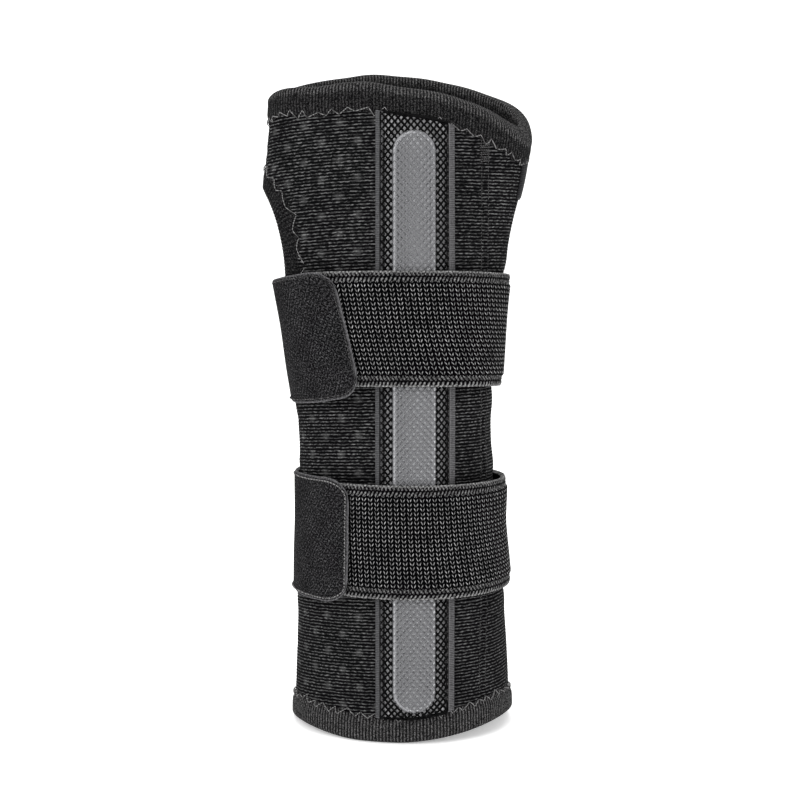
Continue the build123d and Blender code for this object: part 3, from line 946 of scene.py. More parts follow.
@dataclass
class Panel:
    """One cut panel of a layer, between two seams and the two ends."""

    name: str
    node: str
    seams: tuple[Callable[[Array], Array], Callable[[Array], Array]]
    cells: tuple[int, int]
    layer: Layer = Layer.KNIT
    dots: float = 1.0
    hole: bool = False

    def lay(self, u: Array, v: Array) -> Laid:
        """Lays the panel between its seams.

        Args:
            u: Share from the first seam to the second.
            v: Share from the forearm end to the hand end.

        Returns:
            Where its points lie.
        """
        z = (0.01 + 0.98 * v) * FORM.length
        skin = Lifts.even(self.layer.value)
        for _ in range(5):
            low, high = self.seams[0](z), self.seams[1](z)
            angle = low + u * (high - low)
            here = FORM.point(angle, z, skin)
            bottom = FORM.forearm_edge(here) + BINDING
            top = FORM.hand_edge(here) - BINDING
            z = bottom + v * (top - bottom)
        across = FORM.walk(angle, z, skin)
        up = z + 1.1 * np.clip(across, -55 * MM, 0.0) ** 2
        dot = perforations(across, up) * self.dots
        out = FORM.swell(angle, z)
        if self.layer is Layer.KNIT:
            ribs = np.cos(2 * np.pi * up / (1.1 * MM))
            edge = np.minimum(u, 1 - u) * np.abs(high - low) * FORM.width / 2
            out = out + 0.05 * MM * ribs - 0.16 * MM * dot - 0.45 * MM * step(1.6 * MM, 0.0, edge)
        place = FORM.point(angle, z, skin, out)
        return Laid(place, np.stack([across, up], axis=-1), {"dot": dot})

    def size(self, piece: Object) -> tuple[float, float]:
        """The flat cut's width and length, from its flat places."""
        uv = np.empty(len(piece.data.loops) * 2)
        piece.data.uv_layers["UVMap"].data.foreach_get("uv", uv)
        uv = uv.reshape(-1, 2)
        return float(np.ptp(uv[:, 0])), float(np.ptp(uv[:, 1]))


def palm_middle(z: Array) -> Array:
    """The seam under the pocket."""
    return np.zeros_like(z)


def finger_seam(z: Array) -> Array:
    """The upright seam on the finger side of the stay."""
    return FORM.seam_angle(z, FINGER_SEAM_X)


def finger_side(z: Array) -> Array:
    """The side seam on the finger side."""
    return FORM.side_angle(z, SIDE_SEAM_Y)


def thumb_side(z: Array) -> Array:
    """The side seam on the thumb side, seen from the palm side."""
    return -FORM.side_angle(z, SIDE_SEAM_Y)


def thumb_side_back(z: Array) -> Array:
    """The side seam on the thumb side, reached round the back."""
    return 2 * math.pi - FORM.side_angle(z, SIDE_SEAM_Y)


@dataclass
class PaddedSleeve:
    """The sleeve's four knit panels, two foam cores and lining."""

    panels: tuple[Panel, ...] = (
        Panel("knit_thumb_side", "outer_panel_thumb_side", (thumb_side, palm_middle), (62, 720), hole=True),
        Panel(
            "knit_finger_front", "outer_panel_finger_front", (palm_middle, finger_seam), (26, 720), dots=0.25
        ),
        Panel("knit_finger_side", "outer_panel_finger_side", (finger_seam, finger_side), (24, 720), dots=0.2),
        Panel(
            "knit_back", "outer_panel_back", (finger_side, thumb_side_back), (60, 720), dots=0.35, hole=True
        ),
    )

    def build(self) -> None:
        """Makes every layer."""
        for panel in self.panels:
            hole = panel.layer.value if panel.hole else None
            piece = cut_cloth(panel.name, panel.cells, panel.lay, hole)
            size = panel.size(piece)
            thicken(piece, 0.9 * KNIT_WALL)
            dress(piece, KNIT_CLOTH, "root")
            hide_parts(panel.node)
        self.build_foam()
        self.build_lining()

    def build_foam(self) -> None:
        """The two foam cores, closed slabs 1.9 mm thick."""
        halves = (
            ("foam_front", "foam_core_front", (thumb_side, finger_side)),
            ("foam_back", "foam_core_back", (finger_side, thumb_side_back)),
        )
        for name, node, seams in halves:
            half = Panel(name, node, seams, (90, 150), Layer.FOAM, 1.0, True)
            piece = cut_cloth(half.name, half.cells, half.lay, half.layer.value)
            thicken(piece, 0.95 * FOAM_WALL)
            dress(piece, FOAM_CORE, "root")
            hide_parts(half.node)

    def build_lining(self) -> None:
        """The lining, one jersey tube seamed at the back."""

        def back_seam(z: Array) -> Array:
            return np.full_like(z, -math.pi)

        def back_again(z: Array) -> Array:
            return np.full_like(z, math.pi)

        tube = Panel("jersey_lining", "lining", (back_seam, back_again), (150, 170), Layer.LINING, 0.0, True)
        piece = cut_cloth(tube.name, tube.cells, tube.lay, tube.layer.value, joined=True)
        size = tube.size(piece)
        thicken(piece, 0.9 * LINING_WALL)
        dress(piece, LINING_CLOTH, "root")
        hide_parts(tube.node)


# ---------------------------------------------------------------- the bindings


class Ribs(Enum):
    """Where a binding's ribs show in relief and with their painted highlight: how far down from its fold, and
    how strongly below.
    """

    ON_FOLD = (1.4 * MM, 0.3)
    FULL = (7.5 * MM, 0.6)
    FAINT = (0.6 * MM, 0.18)


@dataclass
class Binding:
    """A ribbed band folded over an edge, sewn down with a zigzag."""

    name: str
    node: str
    depth: float
    ribs: Ribs
    cells: int
    fold: float = 1.3 * MM
    pitch: float = 1.13 * MM
    zigzag: float = 4.6 * MM

    def profile(self, v: Array) -> tuple[Array, Array]:
        """The folded band's section.

        Args:
            v: Share from its outer edge over the fold to its inner edge.

        Returns:
            Lift off the sleeve's outside, and distance down from the fold's top.
        """
        side, arc, top = self.depth - self.fold, math.pi / 2 * self.fold, WALL + 2 * BINDING - 2 * self.fold
        walked = v * self.section()
        first = np.clip((walked - side) / self.fold, 0.0, math.pi / 2)
        second = np.clip((walked - side - arc - top) / self.fold, 0.0, math.pi / 2)
        lift = BINDING - self.fold * (1 - np.cos(first) + np.sin(second))
        lift = lift - np.clip(walked - side - arc, 0.0, top)
        drop = self.fold * (2 - np.sin(first) - np.cos(second)) + np.clip(side - walked, 0.0, None)
        return lift, drop + np.clip(walked - side - 2 * arc - top, 0.0, None)

    def section(self) -> float:
        """The band's width when it is laid flat."""
        return 2 * (self.depth - self.fold) + math.pi * self.fold + WALL + 2 * BINDING - 2 * self.fold

    def spot(self, turn: Array, lift: Array, drop: Array, out: Array | float = 0.0) -> Array:
        """The place on the edge at a share of a turn. Each kind of edge gives its own."""
        raise NotImplementedError

    def girth(self) -> Array:
        """The distance round the fold's top at 1200 steps of a turn."""
        turn = np.linspace(0.0, 1.0, 1201)
        return lengths_along(self.spot(turn, np.zeros_like(turn), np.zeros_like(turn)))

    def lay(self, u: Array, v: Array) -> Laid:
        """Lays the band over the edge.

        Args:
            u: Share of a turn.
            v: Share across the band.

        Returns:
            Where its points lie.
        """
        lift, drop = self.profile(v)
        girth = self.girth()
        ribs = round(girth[-1] / self.pitch)
        walked = np.interp(u, np.linspace(0, 1, len(girth)), girth)
        wave = 0.5 + 0.5 * np.cos(2 * np.pi * ribs * walked / girth[-1])
        reach, below = self.ribs.value
        # strength sets both the ribs' relief and their painted highlight
        strength = below + (1 - below) * step(reach + 1.5 * MM, reach, drop)
        ragged = 0.35 * MM * np.sin(walked / (1.9 * MM)) * np.sin(walked / (5.1 * MM) + 1.0)
        drop = drop + ragged * step(self.depth - 3 * MM, self.depth, drop)
        out = 0.16 * MM * wave * strength - 0.75 * MM * step(self.depth - 3.5 * MM, self.depth, drop)
        out = out + 0.18 * MM * np.sin(walked / (3.7 * MM)) * np.sin(drop / (2.3 * MM))
        place = self.spot(u, lift, drop, out)
        return Laid(place, np.stack([walked, v * self.section()], axis=-1), {"rib": wave**2 * strength})

    def build(self, skin: float = 0.75 * MM) -> None:
        """Makes the band and its zigzag."""
        rows = 46
        piece = cut_cloth(self.name, (self.cells, rows), self.lay, joined=True)
        girth = float(self.girth()[-1])
        width = self.section()
        thicken(piece, skin)
        dress(piece, BINDING_CLOTH, "root")
        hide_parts(self.node)
        zigzag = self.sew_zigzag(girth)
        piece["flat_area"] = girth * width

    def sew_zigzag(self, girth: float) -> Object:
        """The zigzag that crosses the band's outer edge.

        Args:
            girth: The distance round the edge.

        Returns:
            The stitches.
        """
        count = round(girth / self.zigzag)
        turn = (np.arange(2 * count + 1) / (2 * count)) % 1.0
        low = np.arange(2 * count + 1) % 2 == 0
        rng = np.random.default_rng(7)
        drop = np.where(low, self.depth + 0.8 * MM, self.depth - 1.3 * MM)
        drop = drop + rng.normal(0, 0.5 * MM, low.shape)
        lift = np.where(low, 0.1 * MM, BINDING - 0.1 * MM)
        turn = turn + rng.normal(0, 0.12, low.shape) / count
        spots = self.spot(turn, lift, drop)
        up = self.spot(turn, lift + 1.0 * MM, drop) - spots
        middle = up[:-1] + up[1:]
        middle /= np.linalg.norm(middle, axis=1, keepdims=True)
        return sew(self.name + "_zigzag", spots[:-1], spots[1:], middle, 0.17 * MM, PALE_THREAD, bow=0.4 * MM)


@dataclass
class EndBinding(Binding):
    """A binding round one end of the sleeve."""

    hand: bool = True

    def spot(self, turn: Array, lift: Array, drop: Array, out: Array | float = 0.0) -> Array:
        """The place at a share of a turn, starting at the back."""
        angle = (np.asarray(turn) * 2 - 1) * math.pi * (1 if self.hand else -1)
        z = np.full_like(angle, FORM.length / 2)
        zero = Lifts()
        for _ in range(6):
            here = FORM.point(angle, z, zero, lift)
            z = FORM.hand_edge(here) - drop if self.hand else FORM.forearm_edge(here) + drop
        return FORM.point(angle, z, zero, lift + out + FORM.swell(angle, z))


@dataclass
class ThumbBinding(Binding):
    """The binding round the thumb hole, narrower towards the palm and the back."""

    narrow: float = 0.62
    bulge: float = 0.35 * MM

    def spot(self, turn: Array, lift: Array, drop: Array, out: Array | float = 0.0) -> Array:
        """The place at a share of a turn, starting towards the back."""
        around = -2 * math.pi * np.asarray(turn)
        y0, z0 = FORM.hole_middle()
        half_y = FORM.hole_half_width - BINDING + self.narrow * drop
        half_z = FORM.hole_half_height - BINDING + drop
        y = y0 + half_y * np.cos(around)
        z = z0 + half_z * np.sin(around)
        angle = FORM.thumb_angle(y, z, 0.0)
        puff = self.bulge * np.exp(-(((np.sin(around) - 1.0) / 0.22) ** 2)) * step(-2 * MM, 0.0, lift)
        puff = puff * step(5.5 * MM, 0.5 * MM, drop)
        return FORM.point(angle, z, Lifts(), lift + out + puff)


# ---------------------------------------------------------------- the stay and its pocket


@dataclass
class StayPocket:
    """The metal stay in its net pocket, with the two satin tapes."""

    stay_width: float = 14.4 * MM
    stay_low: float = 10.95 * MM
    stay_high: float = 204.1 * MM
    stay_lift: float = 0.65 * MM
    stay_thickness: float = 1.5 * MM
    rim: float = 1.25 * MM
    half_width: float = 11.2 * MM
    net_pitch: float = 1.62 * MM
    net_yarn: float = 1.04 * MM

    def ends(self, x: Array) -> tuple[Array, Array]:
        """The heights where the pocket meets the two bindings, at each distance from the stay."""
        z_low, z_high = np.full_like(x, 10 * MM), np.full_like(x, 205 * MM)
        for _ in range(4):
            low = np.stack([x + FORM.stay_x, FORM.palm_line(z_low), z_low], axis=-1)
            high = np.stack([x + FORM.stay_x, FORM.palm_line(z_high), z_high], axis=-1)
            z_low = FORM.forearm_edge(low) + 8.4 * MM
            z_high = FORM.hand_edge(high) - 8.4 * MM
        return z_low, z_high

    def front(self, x: Array, z: Array, lift: Array | float) -> Array:
        """A point in front of the palm side.

        Args:
            x: Distance from the stay's middle.
            z: Height.
            lift: Distance off the sleeve.

        Returns:
            The points.
        """
        thumb, finger, _, _ = FORM.at(z)
        angle = np.arcsin(np.clip(x / np.where(x < 0, thumb, finger), -1, 1))
        return FORM.point(angle, z, Lifts(), lift)

    def beside_stay(self, x: Array, z: Array) -> Array:
        """The distance from the stay's outline, 0 over the stay."""
        half = self.stay_width / 2
        z_in = np.clip(z, self.stay_low + half, self.stay_high - half)
        return np.maximum(np.hypot(x, z - z_in) - half, 0.0)

    def net_lift(self, x: Array, z: Array) -> Array:
        """The net's height: taut over the stay, drawn down beside it."""
        away = self.beside_stay(x, z)
        high = self.stay_lift + self.stay_thickness + 0.48 * MM
        low = 1.0 * MM
        return low + (high - low) * step(3.6 * MM, 0.2 * MM, away)

    def build(self) -> None:
        """Makes the pocket's pieces."""
        self.build_stay()
        self.build_backing([self.build_net(), *self.build_tapes()])

    def build_backing(self, sewn: list[Object]) -> None:
        """The cloth behind the stay."""

        def lay(u: Array, v: Array) -> Laid:
            x = (u - 0.5) * 2 * self.half_width
            low, high = self.ends(x)
            z = low + v * (high - low)
            return Laid(self.front(x, z, 0.52 * MM), np.stack([x, z], axis=-1))

        piece = cut_cloth("pocket_back_cloth", (16, 130), lay)
        thicken(piece, 0.4 * MM)
        dress(piece, BACKING_CLOTH, "root")
        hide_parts("pocket_backing")

    def build_stay(self) -> None:
        """The stay: a bar with round ends and a raised rim, bent to the palm line."""
        radius = self.stay_width / 2
        long = self.stay_high - self.stay_low - self.stay_width
        bpy.ops.object.select_all(action="DESELECT")
        bpy.ops.mesh.primitive_circle_add(vertices=64, radius=radius, fill_type="NGON")
        bar = bpy.context.object
        bar.name = bar.data.name = "stay_bar"
        flat = corners(bar)
        flat[:, 1] += np.where(flat[:, 1] > 1e-6, long / 2, np.where(flat[:, 1] < -1e-6, -long / 2, 0.0))
        move_corners(bar, flat)
        extrude = {"TRANSFORM_OT_translate": {"value": (0, 0, self.stay_thickness)}}
        edit(bar, (bpy.ops.mesh.extrude_region_move, extrude))
        alone(bar)
        bpy.ops.object.mode_set(mode="EDIT")
        bpy.ops.mesh.select_all(action="DESELECT")
        bpy.ops.object.mode_set(mode="OBJECT")
        for face in bar.data.polygons:
            face.select = face.center.z > self.stay_thickness * 0.9
        bpy.ops.object.mode_set(mode="EDIT")
        bpy.ops.mesh.select_mode(type="FACE")
        bpy.ops.mesh.inset(thickness=0.3 * MM, depth=0.0)
        bpy.ops.mesh.inset(thickness=self.rim - 0.3 * MM, depth=0.0)
        bpy.ops.mesh.inset(thickness=0.35 * MM, depth=-0.3 * MM)
        bpy.ops.object.mode_set(mode="OBJECT")
        points = corners(bar)
        top = points[:, 2] > self.stay_thickness * 0.99
        past = points[:, 1] - np.clip(points[:, 1], -long / 2, long / 2)
        rim = np.hypot(points[:, 0], past) > radius - 1e-5
        points[top & rim, 2] -= 0.3 * MM
        move_corners(bar, points)
        for height in np.linspace(-long / 2 + 2 * MM, long / 2 - 2 * MM, 40):
            edit(bar, (bpy.ops.mesh.bisect, {"plane_co": (0, float(height), 0), "plane_no": (0, 1, 0)}))
        edit(bar, (bpy.ops.mesh.normals_make_consistent, {"inside": False}))
        points = corners(bar)
        z = points[:, 1] + (self.stay_low + self.stay_high) / 2
        move_corners(bar, self.front(points[:, 0], z, self.stay_lift + points[:, 2]))
        edit(bar, (bpy.ops.mesh.normals_make_consistent, {"inside": False}))
        dress(bar, STAY_METAL, "root")
        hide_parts("splint_stay")

    def build_net(self) -> Object:
        """The net: threads that cross on the slant, with open holes between."""
        low, high = self.ends(np.array([-self.half_width, 0.0, self.half_width]))
        tall = float(high.max() - low.min()) + 4 * MM
        bottom = float(low.min()) - 1 * MM
        bpy.ops.object.select_all(action="DESELECT")
        cells = int(tall * 1.5 / self.net_pitch)
        size = cells * self.net_pitch
        bpy.ops.mesh.primitive_grid_add(x_subdivisions=cells, y_subdivisions=cells, size=size)
        net = bpy.context.object
        net.name = net.data.name = "pocket_net"
        points = corners(net)
        x, y = points[:, 0].copy(), points[:, 1].copy()
        points[:, 0], points[:, 1] = (x - y) / math.sqrt(2) * 0.92, (x + y) / math.sqrt(2) * 1.08
        move_corners(net, points)
        half = self.half_width - 0.2 * MM
        for co, no in (((half, 0, 0), (1, 0, 0)), ((-half, 0, 0), (-1, 0, 0)),
                       ((0, tall / 2, 0), (0, 1, 0)), ((0, -tall / 2, 0), (0, -1, 0))):
            edit(net, (bpy.ops.mesh.bisect, {"plane_co": co, "plane_no": no, "clear_outer": True}))
        points = corners(net)
        x = points[:, 0]
        share = points[:, 1] / tall + 0.5
        z_low, z_high = self.ends(x)
        z = bottom + share * tall
        z = np.clip(z, z_low, z_high)
        move_corners(net, self.front(x, z, self.net_lift(x, z)))
        edit(net, (bpy.ops.mesh.remove_doubles, {"threshold": 1e-5}))
        modify(net, "WIREFRAME", thickness=self.net_yarn, use_even_offset=False, use_boundary=True)
        dress(net, NET_YARN, "root")
        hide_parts("pocket_mesh")
        return net

    def build_tapes(self) -> list[Object]:
        """The two tapes that cover the pocket's long edges, each with its stitches."""
        sewn: list[Object] = []
        sides = (
            ("tape_thumb_side", "pocket_tape_thumb_side", -12.6 * MM, -9.6 * MM, GREY_TAPE, -1),
            ("tape_finger_side", "pocket_tape_finger_side", 10.4 * MM, 13.2 * MM, DARK_TAPE, 1),
        )
        for name, node, near, far, finish, side in sides:

            def lay(u: Array, v: Array, near: float = near, far: float = far, side: int = side) -> Laid:
                x = near + u * (far - near)
                low, high = self.ends(x)
                z = low + v * (high - low)
                crown = 0.35 * MM * (1 - (2 * u - 1) ** 2)
                lift = 0.95 * MM + crown + 0.05 * MM * np.sin(z / (2.1 * MM))
                line, strength = (0.25, 0.8) if side > 0 else (0.8, 0.25)
                edge = np.exp(-(((u - line) / 0.12) ** 2)) * strength
                return Laid(self.front(x, z, lift), np.stack([x, z], axis=-1), {"edge": edge})

            piece = cut_cloth(name, (12, 420), lay)
            thicken(piece, 0.5 * MM)
            dress(piece, finish, "root")
            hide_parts(node)
            z = np.linspace(14 * MM, 204 * MM, 400)
            x = np.full_like(z, (near + far) / 2 - side * 0.9 * MM)
            line = self.front(x, z, 1.35 * MM)
            starts, ends = paces(line, 2.6 * MM, 0.5 * MM)
            up = np.tile([[0.0, -1.0, 0.0]], (len(starts), 1))
            thread = sew(name + "_stitches", starts, ends, up, 0.14 * MM, DARK_THREAD, bow=0.12 * MM)
            sewn += [piece, thread]
        return sewn


# ---------------------------------------------------------------- the straps


@dataclass
class Strap:
    """One elastic strap: its band round the sleeve, its loose tail and its hook tab."""

    name: str
    height: float
    start_x: float
    fall_back: float
    fall_thumb: float
    tab_height: float
    tab_turn: float
    lean: float
    width: float = 38.0 * MM
    thickness: float = 1.8 * MM
    hinge_x: float = -20.0 * MM
    join: float = math.radians(240.0)
    fold: float = math.radians(292.0)
    tab_width: float = 42.0 * MM
    tab_corner: float = 8.0 * MM
    tab_end_x: float = -22.0 * MM
    column: float = 2.2 * MM
    beading: float = 0.3 * MM
    flare: float = 0.0

    def lifts(self, start: bool) -> Lifts:
        """The elastic's outside, sunk on the thumb side where the band starts under the tab."""
        return Lifts(-0.8 * MM if start else 3.0 * MM, 3.2 * MM, 5.4 * MM, 3.0 * MM)

    def middle(self, xyz: Array, tail: bool) -> Array:
        """The height of the strap's middle line at a point."""
        back = self.fall_back * (xyz[..., 1] - float(FORM.palm_line(self.height)))
        thumb = self.fall_thumb * (xyz[..., 0] - FORM.stay_x - self.hinge_x) if tail else 0.0
        return self.height - back + thumb

    def elastic_point(self, angle: Array, across: Array, sink: Array | float = 0.0) -> Array:
        """A point on the elastic's outside.

        Args:
            angle: Where round the sleeve, below 0 at the band's start.
            across: Distance up from the strap's middle line.
            sink: Distance below the outside.

        Returns:
            The points.
        """
        z = np.full_like(angle, self.height)
        hinge = math.pi + math.asin(-self.hinge_x / (FORM.width * 0.47))
        for _ in range(4):
            started = FORM.point(angle, z, self.lifts(True), -sink)
            going = FORM.point(angle, z, self.lifts(False), -sink)
            here = np.where((angle < 0)[:, None], started, going)
            level = self.middle(here, False)
            dropped = self.middle(here, True)
            loose = step(hinge - 0.1, hinge + 0.25, angle)
            z = level + (dropped - level) * loose + across
        here[:, 2] = z
        return here

    def weave(self, along: Array, across: Array) -> tuple[Array, Array, Array]:
        """How the elastic is woven at each place.

        Args:
            along: Distance along the strap.
            across: Distance from its middle line.

        Returns:
            The count of columns from the palm side's middle, how far the place is from the selvedges,
            and how light the selvedges' ticks are, as a painted highlight that also sets their relief, the
            last two from 0 to 1.
        """
        lean = self.lean * (0.32 + 0.68 * step(-5 * MM, 45 * MM, along))
        along = along + lean * (1.25 * across - 0.35 * np.hypot(across, 3 * MM))
        edge = self.width / 2 - np.abs(across)
        slant = np.where(edge > 1.9 * MM, edge, -edge) / (2.6 * MM)
        tick = (0.5 + 0.5 * np.cos(2 * np.pi * (along / (1.35 * MM) + slant))) ** 2
        tick *= 0.75 - 0.7 * np.exp(-(((edge - 1.9 * MM) / (0.3 * MM)) ** 2))
        selvedge = step(3.7 * MM, 3.2 * MM, edge)
        rim = step(0.75 * MM, 0.35 * MM, edge)
        ticks = 0.25 + 0.6 * (0.5 + 0.5 * np.cos(2 * np.pi * along / (1.35 * MM)))
        return along / self.column, 1 - selvedge, np.clip(tick * selvedge * (1 - rim) + ticks * rim, 0, 1)

    def lay_elastic(self, first: float, last: float, start: bool) -> Layout:
        """The layout of the elastic between two angles.

        Args:
            first: The angle where it starts.
            last: The angle where it ends.
            start: Whether it starts at the sewn end.

        Returns:
            The layout.
        """
        angles = np.linspace(first, last, 400)
        line = self.elastic_point(angles, np.zeros_like(angles))
        walked = lengths_along(line)
        zero = np.interp(0.0 if start else math.pi, angles, walked)
        offset = 0.0 if start else self.back_length()

        def lay(u: Array, v: Array) -> Laid:
            angle = np.interp(u * walked[-1], walked, angles)
            across = (v - 0.5) * self.width
            along = u * walked[-1] - zero + offset
            column, body, ticks = self.weave(along, across)
            edge = self.width / 2 - np.abs(across)
            sink = 0.4 * MM * step(0.9 * MM, 0.0, edge) + 0.45 * MM * step(4.0 * MM, 3.3 * MM, edge)
            sink = sink - 0.26 * MM * (ticks + body * (0.5 - 0.5 * np.cos(2 * np.pi * column)))
            flared = step(0.0, self.width / 2, across) * np.exp(-(((angle - 1.45) / 0.6) ** 2))
            sink = sink - self.flare * flared
            sink = sink + 0.15 * MM * np.sin(along / (9.0 * MM) + across / (13.0 * MM))
            place = self.elastic_point(angle, across, sink)
            # the yarn mark carries the selvedges' ticks as a painted highlight
            marks = {"yarn": ticks, "body": body, "column": column}
            return Laid(place, np.stack([along, across], axis=-1), marks)

        return lay

    def back_length(self) -> float:
        """The distance along the band from the palm side to the middle of the back."""
        angles = np.linspace(0.0, math.pi, 200)
        return float(lengths_along(self.elastic_point(angles, np.zeros_like(angles)))[-1])

    def start_angle(self) -> float:
        """The angle of the band's sewn end, below 0."""
        return -math.asin(-self.start_x / (float(FORM.at(self.height)[0]) - 0.8 * MM))

    def build(self) -> None:
        """Makes the strap's pieces, and joins the band, the hook patch and the hooks to their bodies."""
        tail_body, tab_body = self.name + "_tail", self.name + "_tab"
        first = self.start_angle()
        band = cut_cloth(self.name + "_band_elastic", (290, 104), self.lay_elastic(first, math.pi, True))
        thicken(band, self.thickness - 0.3 * MM)
        dress(band, ELASTIC, "root")
        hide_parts(self.name + "_elastic_band")

        last = self.join + 0.02
        tail = cut_cloth(self.name + "_tail_elastic", (96, 104), self.lay_elastic(math.pi, last, False))
        thicken(tail, self.thickness - 0.3 * MM)
        dress(tail, ELASTIC, None)
        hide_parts(self.name + "_elastic_tail")
        lift = 3.0 * MM
        ends = [self.back_point(self.hinge_x + side * 6 * MM, lift) for side in (1, -1)]
        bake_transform(tail)
        self.build_tab(tab_body)

    def back_point(self, x: float, lift: float) -> tuple[float, float, float]:
        """A point on the back of the strap, x from the stay."""
        thumb, _, half, middle = (float(n) for n in FORM.at(self.height))
        rise = math.sqrt(1 - (x / (thumb + lift)) ** 2)
        return FORM.stay_x + x, middle + (half + lift) * rise, self.height

    def tab_point(self, angle: Array, across: Array, sink: Array | float, margin: float = 0.0) -> Array:
        """A point on the tab's outside.

        Args:
            angle: Where round the sleeve on the tab's middle line, from the join to its end.
            across: Share of the tab's half width.
            sink: Distance below the outside.
            margin: How far inside the tab's outline to stay.

        Returns:
            The points.
        """
        turn = math.radians(self.tab_turn)
        lap = step(self.join + 0.24, self.join + 0.08, angle) * 1.5 * MM
        lifts = Lifts(2.0 * MM, 2.8 * MM, 7.4 * MM, 2.8 * MM)
        x_end = FORM.stay_x + self.tab_end_x
        z = np.full_like(angle, self.tab_height)
        middle = FORM.point(angle, z, lifts)
        front = angle > 1.5 * math.pi
        beyond = np.where(front, (x_end - middle[:, 0]) / math.cos(turn), 1.0)
        corner = max(self.tab_corner - margin, 0.5 * MM)
        into = np.clip(corner - np.maximum(beyond - margin, 0.0), 0.0, corner)
        half = self.tab_width / 2 - margin - (corner - np.sqrt(np.maximum(corner**2 - into**2, 0.0)))
        up = across * half
        hinge_z = self.middle(middle, True)
        line = self.tab_height + (middle[:, 0] - x_end) * math.tan(turn)
        line = hinge_z + (line - hinge_z) * step(self.join, 1.5 * math.pi, angle)
        reach = FORM.at(line)[0] + lifts.thumb
        slide = np.sin(turn) * up * step(1.5 * math.pi, 1.5 * math.pi + 0.6, angle)
        angle = angle - slide / np.maximum(reach * np.cos(angle), 8 * MM)
        z = line + up * math.cos(turn)
        return FORM.point(angle, z, lifts, lap - sink)

    def tab_span(self) -> tuple[float, float]:
        """The angles of the tab's lapped start and of its free end."""
        reach = float(FORM.at(self.tab_height)[0]) + 2.0 * MM
        return self.join - 0.14, 2 * math.pi - math.asin(-self.tab_end_x / reach)

    def lay_tab(self, u: Array, v: Array) -> Laid:
        """Lays the tab.

        Args:
            u: Share from its lapped start to its free end.
            v: Share up its width.

        Returns:
            Where its points lie.
        """
        first, last = self.tab_span()
        angle = first + (last - first) * u
        across = 2 * v - 1
        rim = np.minimum((1 - np.abs(across)) * self.tab_width / 2, (1 - u) * 70 * MM)
        sink = 0.45 * MM * step(0.9 * MM, 0.0, rim) + 0.12 * MM * np.sin(u * 19 + across * 2.0)
        sink = sink + 0.10 * MM * np.sin(u * 7 - across * 5.0)
        place = self.tab_point(angle, across, sink)
        long = u * 66 * MM
        edge = step(0.8 * MM, 0.3 * MM, rim) * 0.8
        return Laid(place, np.stack([long, across * self.tab_width / 2], axis=-1), {"edge": edge})

    def build_tab(self, tab_body: str) -> None:
        """Makes the tab, its stitching and the hooks under it.

        Args:
            tab_body: The body of the tab's free flap.
        """
        tab = cut_cloth(self.name + "_tab_laminate", (110, 60), self.lay_tab)
        mesh = tab.data
        flat = sum(p.area for p in mesh.polygons)
        thicken(tab, 1.1 * MM)
        dress(tab, TAB_CLOTH, None)
        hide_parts(self.name + "_tab_base", self.name + "_tab_flap")
        start, end = self.fold_ends()
        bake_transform(tab)
        tab["flat_area"] = flat

        first, last = self.tab_span()
        side = np.linspace(0.0, 1.0, 240)
        inset = 1.2 * MM / (self.tab_width / 2)
        begin = (self.join + 0.15 - first) / (last - first)
        ahead = begin + (0.985 - begin) * side
        turns = np.concatenate([ahead, np.full(240, 0.985), ahead[::-1]])
        reach = 1 - inset
        across = np.concatenate([np.full(240, -reach), (2 * side - 1) * reach, np.full(240, reach)])
        line = self.tab_point(first + (last - first) * turns, across, np.full_like(across, -0.12 * MM))
        outer = self.tab_point(first + (last - first) * turns, across, np.full_like(across, -1.12 * MM))
        starts, ends = paces(line, 1.35 * MM, 0.25 * MM)
        walked = lengths_along(line)
        at = np.arange(len(starts)) * 1.35 * MM
        up = np.stack([np.interp(at, walked, (outer - line)[:, k]) for k in range(3)], axis=-1)
        up /= np.linalg.norm(up, axis=1, keepdims=True)
        finish = PALE_THREAD if self.beading > 0.2 * MM else DARK_THREAD
        bead = sew(self.name + "_tab_beading", starts, ends, up, self.beading, finish, None, 0.18 * MM)
        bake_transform(bead)
        self.build_hooks(tab_body)

    def fold_ends(self) -> tuple[tuple[float, ...], tuple[float, ...]]:
        """Points 4 mm either side of the line that the tab folds back along."""
        angles = np.array([self.fold - 0.02, self.fold, self.fold + 0.02])
        spots = self.tab_point(angles, np.zeros(3), 0.0)
        run = spots[2] - spots[0]
        run[2] = 0.0
        run /= np.linalg.norm(run)
        return tuple(spots[1] - 4 * MM * run), tuple(spots[1] + 4 * MM * run)

    def build_hooks(self, body: str) -> None:
        """The hook patch under the flap, with its rows of hooks.

        Args:
            body: The flap's body.
        """
        first, last = self.fold + 0.12, self.tab_span()[1] - 0.07

        def lay(u: Array, v: Array) -> Laid:
            place = self.tab_point(first + (last - first) * u, 2 * v - 1, np.full_like(u, 1.15 * MM), 3 * MM)
            return Laid(place, np.stack([u * 20 * MM, v * 36 * MM], axis=-1))

